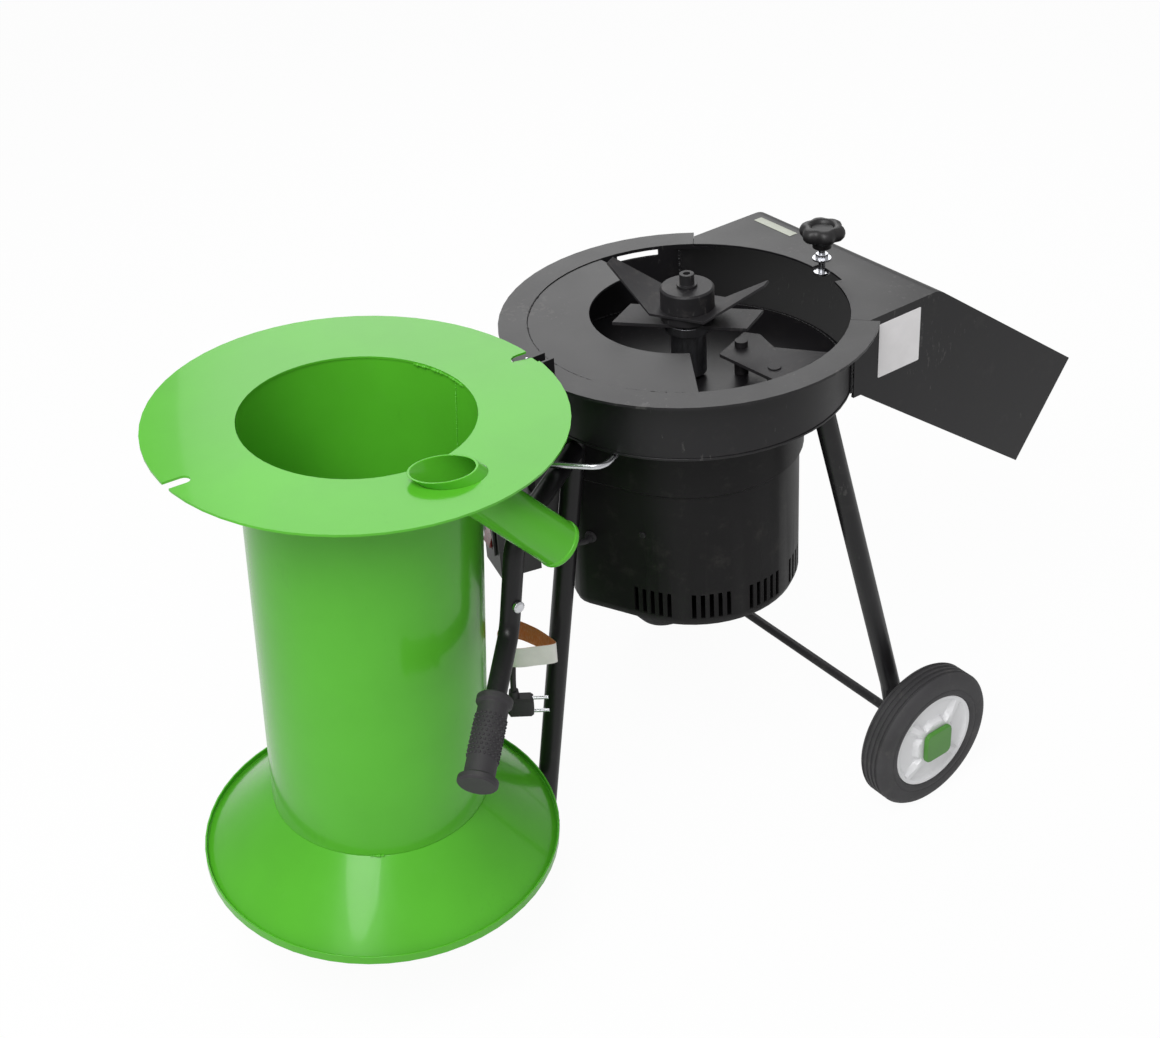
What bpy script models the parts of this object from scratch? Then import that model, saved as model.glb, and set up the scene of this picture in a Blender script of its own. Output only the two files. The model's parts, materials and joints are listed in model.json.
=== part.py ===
"""Garden shredder: a sheet steel pan with a discharge chute on a wheeled tripod, a knife rotor on an electric motor
under the pan, and an intake hopper that turns over on a hinge at the front of the pan. The hopper hangs open.

Metres, +Z up. Every size is measured from the pan: x = 0, y = 0 on its axis, z = 0 on top of its rim, with the
chute towards +X. The whole machine is then moved so that the front foot stands on the origin."""
import math

import bmesh
import bpy
from mathutils import Matrix, Vector

for old in list(bpy.data.objects):
    bpy.data.objects.remove(old, do_unlink=True)

# Fits
GAP = 0.0003             # between pieces that touch
PASS = 0.01              # how far a cutter runs past what it cuts

# Facets
FINE = 60
MEDIUM = 32
COARSE = 16
WHEEL_FACETS = 48

# Pan
RIM_HEIGHT = 0.651
RIM_RADIUS = 0.210
RIM_SHEET = 0.003
MOUTH_RADIUS = 0.178
WALL_SHEET = 0.0035
WALL_DEPTH = 0.077
FLOOR_SHEET = 0.003
FLOOR_LAP = 0.001
SHAFT_HOLE_RADIUS = 0.013
WELD_NUT_PLACE = (0.021, -0.082)
WELD_NUT_RADIUS = 0.0085
WELD_NUT_HEIGHT = 0.008
WALL_SLOT = (62.0, 78.5)      # degrees round the wall
WALL_SLOT_TOP = 0.004
WALL_SLOT_HEIGHT = 0.008
WALL_RADIUS = MOUTH_RADIUS + WALL_SHEET
FLOOR_TOP = -WALL_DEPTH - GAP
FLOOR_BOTTOM = FLOOR_TOP - FLOOR_SHEET
UNDER_FLOOR = FLOOR_BOTTOM - GAP

# Guard plate inside the mouth
GUARD_START = 85.5
GUARD_END = 234.3
GUARD_SHEET = 0.003
GUARD_DROP = 0.001
GUARD_HOLE_RADIUS = 0.105
GUARD_HOLE_CENTRE = (0.005, 0.013)

# Discharge chute
CHUTE_HALF_WIDTH = 0.1495
CHUTE_SHEET = 0.0025
CHUTE_SLOPE = 36.0
CHUTE_FOLD_X = 0.230
CHUTE_FOLD_RADIUS = 0.025
CHUTE_TOP_RUN = 0.2837
CHUTE_OUTLET = 0.140
CHUTE_FLOOR = 0.088
CHUTE_START_X = 0.110
SEAM_ANGLE = 48.5
STUD_NOTCH_DEPTH = 0.009
STUD_NOTCH = (-17.5, -3.0)
CLAMP_CLEAR_ANGLE = 40.0

# Rotor, from the knife upwards and downwards
SHAFT_RADIUS = 0.010
KNIFE_TOP = -0.004
KNIFE_THICKNESS = 0.004
KNIFE_LENGTH = 0.150
KNIFE_WIDTH = 0.046
KNIFE_TURN = 131.0
KNIFE_SKEW = 0.006
SPACER_HEIGHT = 0.0095
HUB_RADIUS = 0.030
HUB_HEIGHT = 0.0235
BLADE_SHEET = 0.003
BLADE_TURN = 118.0
BLADE_REACH = 0.093
BLADE_RISE = 0.042
BLADE_ROOT_WIDTH = 0.064
BLADE_TIP_WIDTH = 0.014
WASHER_RADIUS = 0.0115
WASHER_HEIGHT = 0.0025
ROTOR_SCREW_RADIUS = 0.004
ROTOR_SCREW_LENGTH = 0.022
ROTOR_HEAD_RADIUS = 0.0082
ROTOR_HEAD_HEIGHT = 0.012
HEX_SOCKET_DEPTH = 0.006
HEX_SOCKET_RADIUS = 0.0038
SHOULDER_RADIUS = 0.026
SHOULDER_NECK_RADIUS = 0.020
SHOULDER_HEIGHT = 0.010
SHOULDER_TAPER = 0.002
SHOULDER_CLEARANCE = 0.006
SCREW_HOLE_SPARE = 0.002
SHAFT_UNDER_FAN = 0.006
FAN_CLEARANCE = 0.010
HUB_CHAMFER = 0.002
HUB_OVER_SHAFT = 0.0005

# Fixed counter plate on the pan floor
COUNTER_OUTLINE = (
    (0.070, -0.013), (0.080, -0.029), (0.071, -0.063), (0.107, -0.113), (0.022, -0.126), (0.016, -0.034),
)
COUNTER_TOP = -0.044
COUNTER_THICKNESS = 0.004
COUNTER_BOLTS = ((0.046, -0.036, 0.007), (0.040, -0.098, 0.0012))     # x, y and the head's height
COUNTER_BOLT_RADIUS = 0.004
COUNTER_POST_RADIUS = 0.008
COUNTER_HEAD_RADIUS = 0.0075

# Motor
MOTOR_RADIUS = 0.085
MOTOR_LENGTH = 0.205
MOTOR_SHEET = 0.006
MOTOR_PLATE = 0.006
BEARING_RADIUS = 0.0235
BEARING_WIDTH = 0.014
BEARING_DEPTH = 0.006
BOSS_WALL = 0.006
BOSS_HEIGHT = 0.016
ARMATURE_RADIUS = 0.045
ARMATURE_LENGTH = 0.100
STATOR_RADIUS = 0.0785
STATOR_LENGTH = 0.090
AIR_GAP = 0.0008
FAN_RADIUS = 0.075
FAN_HEIGHT = 0.016
FAN_PLATE = 0.002
FAN_VANES = 8
FAN_VANE_THICKNESS = 0.002
FAN_BOSS_RADIUS = 0.018

# Motor cover: half round, with flat sides that run back to a flat end
COVER_RADIUS = 0.124
COVER_END = 0.110
COVER_TURN = 115.0
COVER_CORNER = 0.030
COVER_WALL = 0.0025
COVER_BOTTOM = 0.340
COVER_BAND = 0.005
COVER_BAND_TOP = 0.098
COVER_BAND_BOTTOM = 0.160
COVER_EDGE = 0.010
COVER_EDGE_STEP = 0.004
VENT_WIDTH = 0.005
VENT_HEIGHT = 0.033
VENT_LIFT = 0.012
VENT_PITCH = 4.7
VENT_GROUP_PITCH = 32.0
VENT_GROUPS = 6
VENTS_PER_GROUP = 5
VENT_START = 198.3
COVER_HOLE_RADIUS = 0.012
COVER_HOLE_CIRCLE = 0.055
COVER_HOLES = 6

# Stand
LEG_RADIUS = 0.0125
LEG_WALL = 0.002
FRONT_LEG_TOP_X = -0.159
FRONT_LEG_FOOT_X = -0.2535
FOOT_RADIUS = 0.0185
FOOT_HEIGHT = 0.045
FOOT_SOLE = 0.006
REAR_LEG_ANGLE = 69.73
REAR_LEG_INSET = 0.0141    # of its middle from the outside of the wall
AXLE_X = 0.176
LEG_SPREAD = 0.1995      # from the axle's middle to each rear leg
AXLE_SHIFT = 0.0215      # the axle's middle is this far to the left of the chute's middle
LEG_END_HALF_WIDTH = 0.018
LEG_END_HALF_THICKNESS = 0.0048
LEG_END_LENGTH = 0.034
LEG_SQUEEZE_LENGTH = 0.030
LEG_FLAT_RISE = 0.010
LEG_BORE_END = 0.004
LEG_END_ROUNDING = 0.3
AXLE_RADIUS = 0.006
AXLE_END = 0.003          # of the axle past each wheel's boss
WHEEL_RADIUS = 0.092
WHEEL_WIDTH = 0.040
WHEEL_TRACK = 0.485
TYRE_INNER_RADIUS = 0.0625
TYRE_SHOULDER = 0.006
TYRE_GROOVES = 2
TYRE_GROOVE_DEPTH = 0.002
TYRE_GROOVE_WIDTH = 0.002
DISC_WEB = 0.006
DISC_RIM = 0.004
DISC_HUB_RADIUS = 0.022
CAP_SIDE = 0.043
CAP_HEIGHT = 0.006
CAP_CORNER = 0.008
BOSS_PROUD = 0.0015       # of each wheel's boss past the tyre's side

# Handles
HANDLE_Y = 0.110
HANDLE_RADIUS = 0.011
HANDLE_WALL = 0.002
HANDLE_START = (-0.1725, -0.0124)        # beside the front leg
HANDLE_DROP = 0.0104      # its top passes this far under the pan floor, clear of the rest
HANDLE_KNEE = (-0.318, -0.0965)          # x and z
HANDLE_ELBOW = (-0.336, -0.209)
HANDLE_GRIP_DIRECTION = (-0.687, -0.623, -0.381)
HANDLE_LENGTH = 0.1733
HANDLE_BEND = 0.028
GRIP_LENGTH = 0.099
GRIP_RADIUS = 0.016
GRIP_COLLAR_RADIUS = 0.019
GRIP_FLANGE_RADIUS = 0.021
GRIP_COLLAR = 0.008
GRIP_FLANGE = 0.007
GRIP_END = 0.004
HANDLE_BOLT_DROP = 0.174
HANDLE_BOLT_RADIUS = 0.003
HANDLE_BOLT_HEAD_RADIUS = 0.0065
HANDLE_BOLT_HEAD = 0.005

# Rod that the open hopper leans on
ROD_RADIUS = 0.0035
ROD_BEND = 0.018
ROD_FIRST = (0.0215 - WALL_RADIUS, 0.072)
ROD_CORNER = (-0.0035 - WALL_RADIUS, 0.085)
ROD_SLANT_END = (-0.244, 0.022)
ROD_NECK = 0.014

# Switch box on the front leg, with its cords
BOX_CORNER = (-0.258, 0.023)
BOX_TURN = -14.0
BOX_DEPTH = 0.048
BOX_WIDTH = 0.050
BOX_BOTTOM = 0.252
BOX_HEIGHT = 0.095
BOX_WALL = 0.0025
SWITCH_WIDTH = 0.024
SWITCH_HEIGHT = 0.034
SWITCH_LIFT = 0.048
SWITCH_FRAME = 0.004
SWITCH_PROUD = 0.003
SWITCH_SLEEVE = 0.0015
SWITCH_SLEEVE_DEPTH = 0.014
ROCKER_CLEARANCE = 0.0009
ROCKER_PIVOT = 0.004
ROCKER_BACK = 0.007
ROCKER_EDGE = 0.0055
ROCKER_WAIST = 0.0030
ROCKER_TILT = 7.0
GLAND_RADIUS = 0.008
GLAND_TIP_RADIUS = 0.0055
GLAND_LENGTH = 0.024
SHORT_GLAND_LENGTH = 0.013
GLAND_NUT_RADIUS = 0.011
GLAND_NUT = 0.007
GLAND_SHOULDER = 0.002
GLAND_THREAD_STEP = 0.001
GLAND_LOCK_NUT_STEP = 0.002
GLAND_LOCK_NUT = 0.003
CORD_GLAND_PLACE = (0.014, 0.012)
CABLE_GLAND_PLACE = (0.016, 0.012)
CORD_RADIUS = 0.0035
CORD_ROUTE = (
    (-0.2415, 0.0285, -0.290), (-0.2462, 0.0240, -0.308), (-0.2560, 0.0143, -0.330), (-0.2655, 0.0050, -0.351),
    (-0.2713, -0.0006, -0.369),
)
GROMMET_PLACE = 0.070    # along the cover's flat side
GROMMET_RADIUS = 0.0075
GROMMET_SHEET = 0.0015
GROMMET_FLANGE = 0.0027
CABLE_TAIL = 0.006
CABLE_LEAD = 0.010
PLUG_FRONT = (-0.2555, -0.0140, -0.4105)
PLUG_TURN = -36.9
PLUG_LENGTH = 0.030
PLUG_WIDTH = 0.018
PLUG_HEIGHT = 0.026
PLUG_ENTRY = 0.0215
PLUG_ENTRY_RADIUS = 0.0055
PLUG_ENTRY_HEIGHT = 0.009
PIN_SPACING = 0.019
PLUG_PIN_RADIUS = 0.0022
PLUG_PIN_LENGTH = 0.018
PLUG_PIN_SEAT = 0.008
TAG_CENTRE = (-0.2560, 0.0143, -0.330)
TAG_TURN = -41.0
TAG_LENGTH = 0.051
TAG_HEIGHT = 0.028
TAG_SHEET = 0.0008
TAG_HALF_WIDTH = 0.0075
TAG_THROAT = 0.0050
BRACKET_SHEET = 0.003
BRACKET_FLANGE = 0.002
BRACKET_HEIGHT = 0.105
BRACKET_LIFT = 0.030
BRACKET_REACH = 0.110      # back from the box's front
BRACKET_CUT = 0.040       # how far behind the leg the plate ends
BRACKET_WIDTH = 0.028

# Hopper, drawn closed over the pan, and its hinge
HOPPER_LIFT = 0.0004
PLATE_RADIUS = 0.210
PLATE_SHEET = 0.0025
BORE_RADIUS = 0.1186
TUBE_INNER_RADIUS = 0.1196
TUBE_SHEET = 0.002
TUBE_TOP = 0.477
CONE_RADIUS = 0.2025
CONE_TOP = 0.5565
CONE_SHEET = 0.002
CONE_LIP = 0.011          # of the rim that turns back towards the plate
BRANCH_PLACE = (-0.0152, -0.1467)
BRANCH_AZIMUTH = 193.7
BRANCH_RISE = 44.3
BRANCH_RADIUS = 0.0241
BRANCH_SHEET = 0.002
BRANCH_LENGTH = 0.1536
BRANCH_CUTTER_START = 0.060     # how far before the tube's middle its cutter starts
BRANCH_COLLAR = 0.0091
BRANCH_BEAD = 0.0012
BRANCH_BEAD_LENGTH = 0.006
HINGE_REACH = 0.2097
HINGE_HEIGHT = 0.0120
HINGE_Y = -0.0020
HINGE_LEAN = 1.35
HOPPER_OPENING = 176.85
PIN_RADIUS = 0.003
PIN_HEAD_RADIUS = 0.0048
PIN_HEAD = 0.002
EYE_WALL = 0.0035
STRAP_HALF_WIDTH = 0.0060
STRAP_SHEET = 0.0025
STRAP_END_X = -0.160
BRACKET_LUG = 0.003
BRACKET_BASE = 0.0025
BRACKET_LUG_TOP = 0.0175
BRACKET_LENGTH = 0.026
HINGE_NOTCH_HALF_WIDTH = 0.0123
HINGE_NOTCH_DEPTH = 0.0255
FAR_NOTCH_Y = -0.010
FAR_NOTCH_HALF_WIDTH = 0.0065
FAR_NOTCH_DEPTH = 0.0255

# Clamp at the mouth, on the chute's side
CLAMP_OFFSET = 0.0049      # of the stud's middle outside the mouth's edge
CLAMP_RADIUS = MOUTH_RADIUS + CLAMP_OFFSET
CLAMP_ANGLE = -6.1
STUD_RADIUS = 0.004
STUD_FOOT_RADIUS = 0.0095
STUD_FOOT = 0.003
STUD_TOP = 0.049
CLAMP_NUT_BOTTOM = 0.012
CLAMP_NUT_RADIUS = 0.0075
CLAMP_NUT_HEIGHT = 0.005
CLAMP_NUT_TURN = 15.0
CLAMP_WASHER_RADIUS = 0.011
CLAMP_WASHER = 0.002
KNOB_BOTTOM = 0.036
KNOB_TOP = 0.0545
KNOB_NECK_BOTTOM = 0.027
KNOB_NECK_RADIUS = 0.011
KNOB_RADIUS = 0.0265
KNOB_LOBES = 6
KNOB_LOBE_STEPS = 8
KNOB_LOBE_DEPTH = 0.0035
KNOB_EDGE = 0.003
KNOB_RECESS_RADIUS = 0.0125
KNOB_RECESS_DEPTH = 0.002

# Heights that follow from the sizes above
KNIFE_BOTTOM = KNIFE_TOP - KNIFE_THICKNESS
SPACER_BOTTOM = KNIFE_TOP + GAP
BLADE_BOTTOM = SPACER_BOTTOM + SPACER_HEIGHT + GAP
HUB_BOTTOM = BLADE_BOTTOM + BLADE_SHEET + GAP
HUB_TOP = HUB_BOTTOM + HUB_HEIGHT
SHAFT_TOP = HUB_TOP - HUB_OVER_SHAFT
MOTOR_TOP = UNDER_FLOOR
MOTOR_BOTTOM = MOTOR_TOP - MOTOR_LENGTH
AXLE_Z = WHEEL_RADIUS - RIM_HEIGHT
PLATE_TOP = HOPPER_LIFT + PLATE_SHEET


def polar(radius, degrees, height=0.0, centre=(0.0, 0.0)):
    """A point at a radius and an angle round a vertical axis."""
    angle = math.radians(degrees)
    return Vector((centre[0] + radius * math.cos(angle), centre[1] + radius * math.sin(angle), height))


def circle(radius, segments, height=0.0, centre=(0.0, 0.0)):
    return [polar(radius, 360.0 * step / segments, height, centre) for step in range(segments)]


def material(name, colour, roughness, metallic=0.0, coat=0.0):
    """A plain finish. A colour is written as linear red, green and blue."""
    finish = bpy.data.materials.new(name)
    finish.use_nodes = True
    shader = finish.node_tree.nodes["Principled BSDF"]
    shader.inputs["Base Color"].default_value = (*colour, 1.0)
    shader.inputs["Roughness"].default_value = roughness
    shader.inputs["Metallic"].default_value = metallic
    shader.inputs["Coat Weight"].default_value = coat
    return finish


BLACK_PAINT = material("black_paint", (0.012, 0.012, 0.013), 0.35, 0.0, 0.3)
GREEN_PAINT = material("green_paint", (0.10, 0.42, 0.05), 0.35, 0.0, 0.4)
DARK_STEEL = material("dark_steel", (0.02, 0.02, 0.022), 0.45, 0.6)
BRIGHT_ZINC = material("bright_zinc", (0.60, 0.60, 0.62), 0.28, 1.0)
BLACK_RUBBER = material("black_rubber", (0.015, 0.015, 0.015), 0.75)
BLACK_PLASTIC = material("black_plastic", (0.018, 0.018, 0.020), 0.45)
WHITE_PLASTIC = material("white_plastic", (0.75, 0.76, 0.77), 0.40)
GREEN_PLASTIC = material("green_plastic", (0.09, 0.30, 0.05), 0.40)
RED_PLASTIC = material("red_plastic", (0.45, 0.02, 0.02), 0.30)
COPPER = material("copper", (0.60, 0.28, 0.14), 0.35, 1.0)
STEEL = material("steel", (0.35, 0.35, 0.36), 0.40, 1.0)
ORANGE_PAPER = material("orange_paper", (0.75, 0.26, 0.06), 0.60)


def empty(name, parent, location=(0.0, 0.0, 0.0), rotation=(0.0, 0.0, 0.0)):
    """A joint's axis, or the frame that pieces are drawn in."""
    frame = bpy.data.objects.new(name, None)
    bpy.context.collection.objects.link(frame)
    frame.parent = parent
    frame.location = location
    frame.rotation_euler = rotation
    return frame


def finish_mesh(name, builder, parent, finish, smooth_angle=35.0):
    """Turns a bmesh into a named object with its normals outwards."""
    bmesh.ops.recalc_face_normals(builder, faces=builder.faces)
    mesh = bpy.data.meshes.new(name)
    builder.to_mesh(mesh)
    builder.free()
    mesh.shade_smooth()
    mesh.set_sharp_from_angle(angle=math.radians(smooth_angle))
    if finish is not None:
        mesh.materials.append(finish)
    piece = bpy.data.objects.new(name, mesh)
    bpy.context.collection.objects.link(piece)
    piece.parent = parent
    return piece


def skin(name, rings, parent, finish, closed=False):
    """Joins rings of equally many points. A closed skin runs from its last ring to its first, else both ends are capped."""
    builder = bmesh.new()
    loops = [[builder.verts.new(point) for point in ring] for ring in rings]
    pairs = list(zip(loops, loops[1:]))
    if closed:
        pairs.append((loops[-1], loops[0]))
    count = len(loops[0])
    for first, second in pairs:
        for step in range(count):
            following = (step + 1) % count
            builder.faces.new((first[step], first[following], second[following], second[step]))
    if not closed:
        builder.faces.new(loops[0])
        builder.faces.new(loops[-1])
    return finish_mesh(name, builder, parent, finish)


def turned(name, profile, parent, finish, segments=FINE, closed=True, centre=(0.0, 0.0)):
    """Turns (radius, height) points about a vertical axis: a closed profile is a ring, an open one a solid."""
    rings = [circle(radius, segments, height, centre) for radius, height in profile]
    return skin(name, rings, parent, finish, closed)


def slab(name, outline, low, high, parent, finish):
    """A flat plate between two heights, from its outline in plan."""
    rings = [[Vector((x, y, height)) for x, y in outline] for height in (low, high)]
    return skin(name, rings, parent, finish)


def extruded(name, outline, near, far, parent, finish):
    """A section in X and Z, drawn out along Y."""
    rings = [[Vector((x, y, z)) for x, z in outline] for y in (near, far)]
    return skin(name, rings, parent, finish)


def rod(name, start, end, radius, parent, finish, segments=COARSE, bore=0.0):
    """A straight round bar, or a tube where it has a bore."""
    return pipe(name, [Vector(start), Vector(end)], radius, parent, finish, segments, bore)


def path_frames(points):
    """A pair of axes square to the path at each point, carried along without twist."""
    tangents = []
    for index, point in enumerate(points):
        before = points[max(index - 1, 0)]
        after = points[min(index + 1, len(points) - 1)]
        tangents.append((after - before).normalized())
    side = tangents[0].orthogonal().normalized()
    frames = []
    for tangent in tangents:
        side = (side - tangent * side.dot(tangent)).normalized()
        frames.append((side, tangent.cross(side)))
    return frames


def ring_at(point, frame, radius, segments):
    side, up = frame
    ring = []
    for step in range(segments):
        angle = math.tau * step / segments
        ring.append(point + side * (radius * math.cos(angle)) + up * (radius * math.sin(angle)))
    return ring


def pipe(name, points, radius, parent, finish, segments=COARSE, bore=0.0):
    frames = path_frames(points)
    outside = [ring_at(point, frame, radius, segments) for point, frame in zip(points, frames)]
    if not bore:
        return skin(name, outside, parent, finish)
    inside = [ring_at(point, frame, bore, segments) for point, frame in zip(points, frames)]
    return skin(name, outside + inside[::-1], parent, finish, closed=True)


def bent(points, radius, steps=5):
    """A path whose inner corners are rounded to a bend radius."""
    points = [Vector(point) for point in points]
    path = [points[0]]
    for before, corner, after in zip(points, points[1:], points[2:]):
        inward = (before - corner).normalized()
        outward = (after - corner).normalized()
        half = inward.angle(outward) / 2
        setback = radius / math.tan(half)
        centre = corner + (inward + outward).normalized() * (radius / math.sin(half))
        start = corner + inward * setback - centre
        end = corner + outward * setback - centre
        turn = start.angle(end)
        for step in range(steps + 1):
            share = step / steps
            spread = math.sin(turn)
            mix = start * (math.sin((1 - share) * turn) / spread) + end * (math.sin(share * turn) / spread)
            path.append(centre + mix)
    path.append(points[-1])
    return path


def boolean(piece, cutter, operation="DIFFERENCE"):
    """Cuts a piece with another body, which stays in the file as a hidden guide."""
    cutter.hide_render = True
    cutter.display_type = "WIRE"
    change = piece.modifiers.new(cutter.name, "BOOLEAN")
    change.operation = operation
    change.solver = "EXACT"
    change.object = cutter
    return piece


def drill(piece, start, end, radius, parent, segments=COARSE):
    """A round hole from one point to another."""
    count = len(piece.modifiers) + 1
    return boolean(piece, rod(f"hole_{piece.name}_{count}", start, end, radius, parent, None, segments))


def arc(radius, start, end, steps, centre=(0.0, 0.0)):
    """Plan points along an arc, both ends included."""
    return [
        tuple(polar(radius, start + (end - start) * step / steps, 0.0, centre)[:2]) for step in range(steps + 1)
    ]


def sector(inner, outer, start, end, steps):
    """The plan of a ring's sector."""
    return arc(outer, start, end, steps) + arc(inner, end, start, steps)


def straight_leg_rings(top, bottom, heights, radius, segments=COARSE):
    """Level rings along the straight line from top to bottom."""
    top = Vector(top)
    bottom = Vector(bottom)
    rings = []
    for height in heights:
        centre = top + (bottom - top) * ((height - top.z) / (bottom.z - top.z))
        rings.append(circle(radius, segments, height, centre[:2]))
    return rings


machine = empty("machine_frame", None, (-FRONT_LEG_FOOT_X, 0.0, RIM_HEIGHT))


def pan():
    """The drum that the rotor turns in, and its floor."""
    drum = turned(
        "pan_drum",
        [(RIM_RADIUS, 0.0), (MOUTH_RADIUS, 0.0), (MOUTH_RADIUS, -WALL_DEPTH), (WALL_RADIUS, -WALL_DEPTH),
         (WALL_RADIUS, -RIM_SHEET), (RIM_RADIUS, -RIM_SHEET)],
        machine, BLACK_PAINT,
    )
    opening = CHUTE_HALF_WIDTH - CHUTE_SHEET - GAP
    lip = RIM_SHEET + WALL_SHEET
    side = [(0.0, -opening), (RIM_RADIUS, -opening), (RIM_RADIUS, opening), (0.0, opening)]
    boolean(drum, slab("opening_to_chute", side, -WALL_DEPTH - PASS, -lip, machine, None))
    seam = SEAM_ANGLE + 0.1
    wedge = sector(MOUTH_RADIUS - PASS, RIM_RADIUS + PASS, -seam, seam, 24)
    boolean(drum, slab("rim_gap_for_chute", wedge, -RIM_SHEET - GAP, PASS, machine, None))
    clear = sector(MOUTH_RADIUS - PASS, WALL_RADIUS + PASS, -CLAMP_CLEAR_ANGLE, CLAMP_CLEAR_ANGLE, 16)
    boolean(drum, slab("clamp_clearance", clear, -lip - PASS, PASS, machine, None))
    slot = sector(MOUTH_RADIUS - PASS, WALL_RADIUS + PASS, WALL_SLOT[0], WALL_SLOT[1], 4)
    top = -WALL_SLOT_TOP
    boolean(drum, slab("wall_slot", slot, top - WALL_SLOT_HEIGHT, top, machine, None))
    floor = turned(
        "pan_floor",
        [(WALL_RADIUS + FLOOR_LAP, FLOOR_TOP), (SHAFT_HOLE_RADIUS, FLOOR_TOP), (SHAFT_HOLE_RADIUS, FLOOR_BOTTOM),
         (WALL_RADIUS + FLOOR_LAP, FLOOR_BOTTOM)],
        machine, BLACK_PAINT,
    )
    nut = hexagon(WELD_NUT_RADIUS, WELD_NUT_PLACE)
    weld = FLOOR_TOP - FLOOR_SHEET / 2
    boolean(floor, slab("weld_nut", nut, weld, FLOOR_TOP + WELD_NUT_HEIGHT, machine, None), "UNION")
    return drum, floor


def guard_plate():
    outer = MOUTH_RADIUS - GAP
    outline = arc(outer, GUARD_START, GUARD_END, 36)
    hole = []
    for step in range(25):
        angle = GUARD_END + (GUARD_START - GUARD_END) * step / 24
        hole.append(tuple(polar(GUARD_HOLE_RADIUS, angle, 0.0, GUARD_HOLE_CENTRE)[:2]))
    top = -GUARD_DROP
    return slab("feed_guard_plate", outline + hole, top - GUARD_SHEET, top, machine, BLACK_PAINT)


def chute_section(inset, overrun):
    """The chute's side view as (x, z) points, drawn inwards by the sheet and lengthened past both ends."""
    slope = math.radians(CHUTE_SLOPE)
    down = Vector((math.cos(slope), -math.sin(slope)))
    inward = Vector((-math.sin(slope), -math.cos(slope)))
    points = [Vector((CHUTE_START_X - overrun, -inset))]
    centre = Vector((CHUTE_FOLD_X, -CHUTE_FOLD_RADIUS))
    radius = CHUTE_FOLD_RADIUS - inset
    for step in range(5):
        angle = math.pi / 2 - slope * step / 4
        points.append(centre + Vector((math.cos(angle), math.sin(angle))) * radius)
    fold_end = centre - inward * CHUTE_FOLD_RADIUS
    top_edge = fold_end + down * CHUTE_TOP_RUN
    bottom_edge = top_edge + inward * CHUTE_OUTLET
    points.append(top_edge + inward * inset + down * overrun)
    points.append(bottom_edge - inward * inset + down * overrun)
    corner_height = -CHUTE_FLOOR + inset
    start = bottom_edge - inward * inset
    run = (corner_height - start.y) / -down.y
    points.append(start - down * run)
    points.append(Vector((CHUTE_START_X - overrun, corner_height)))
    return [tuple(point) for point in points]


def discharge_chute():
    """The folded duct from the pan's opening down to the outlet. Its top sheet fills the gap in the pan's rim."""
    width = CHUTE_HALF_WIDTH
    inner = CHUTE_HALF_WIDTH - CHUTE_SHEET
    chute = extruded("discharge_chute", chute_section(0.0, 0.0), -width, width, machine, BLACK_PAINT)
    hollow = extruded("chute_hollow", chute_section(CHUTE_SHEET, PASS), -inner, inner, machine, None)
    boolean(chute, hollow)
    clear = WALL_RADIUS + GAP + FLOOR_LAP
    under = -RIM_SHEET - GAP
    below = -CHUTE_FLOOR - PASS
    mouth = [(clear, below), (clear, under), (MOUTH_RADIUS, under), (MOUTH_RADIUS, PASS)]
    boolean(chute, turned("chute_mouth", mouth, machine, None, FINE, closed=False))
    for side, name in ((1, "left"), (-1, "right")):
        plan = sector(MOUTH_RADIUS - PASS, RIM_RADIUS + PASS, side * SEAM_ANGLE, side * 110.0, 8)
        boolean(chute, slab(f"seam_{name}", plan, under, PASS, machine, None))
    notch = sector(MOUTH_RADIUS - PASS, MOUTH_RADIUS + STUD_NOTCH_DEPTH, STUD_NOTCH[0], STUD_NOTCH[1], 6)
    boolean(chute, slab("stud_notch", notch, under, PASS, machine, None))
    return chute


def hexagon(radius, centre=(0.0, 0.0), turn=0.0):
    return [tuple(polar(radius, turn + 60.0 * step, 0.0, centre)[:2]) for step in range(6)]


def counter_plate():
    """A plate on two bolts above the pan floor, which the rotor cuts against."""
    low = COUNTER_TOP - COUNTER_THICKNESS
    plate = slab("counter_plate", COUNTER_OUTLINE, low, COUNTER_TOP, machine, DARK_STEEL)
    for number, (x, y, tall) in enumerate(COUNTER_BOLTS, 1):
        place = (x, y)
        start = (*place, low - PASS)
        end = (*place, COUNTER_TOP + PASS)
        drill(plate, start, end, COUNTER_BOLT_RADIUS + GAP, machine)
        head = COUNTER_TOP + GAP
        turned(
            f"counter_bolt_{number}",
            [(COUNTER_POST_RADIUS, FLOOR_TOP + GAP), (COUNTER_POST_RADIUS, low - GAP),
             (COUNTER_BOLT_RADIUS, low - GAP), (COUNTER_BOLT_RADIUS, head), (COUNTER_HEAD_RADIUS, head),
             (COUNTER_HEAD_RADIUS, head + tall)],
            machine, DARK_STEEL, COARSE, False, place,
        )
    return plate


rotor = empty("rotor_axis", machine)


def knife():
    """A flat two-ended knife with slanted ends."""
    half = KNIFE_LENGTH / 2
    side = KNIFE_WIDTH / 2
    outline = [(-half - KNIFE_SKEW, -side), (half - KNIFE_SKEW, -side), (half + KNIFE_SKEW, side),
               (-half + KNIFE_SKEW, side)]
    turn = Matrix.Rotation(math.radians(KNIFE_TURN), 2)
    plan = [tuple(turn @ Vector(point)) for point in outline]
    blade = slab("knife", plan, KNIFE_BOTTOM, KNIFE_TOP, rotor, DARK_STEEL)
    radius = SHAFT_RADIUS + GAP
    return drill(blade, (0, 0, KNIFE_BOTTOM - PASS), (0, 0, KNIFE_TOP + PASS), radius, rotor)


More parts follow.
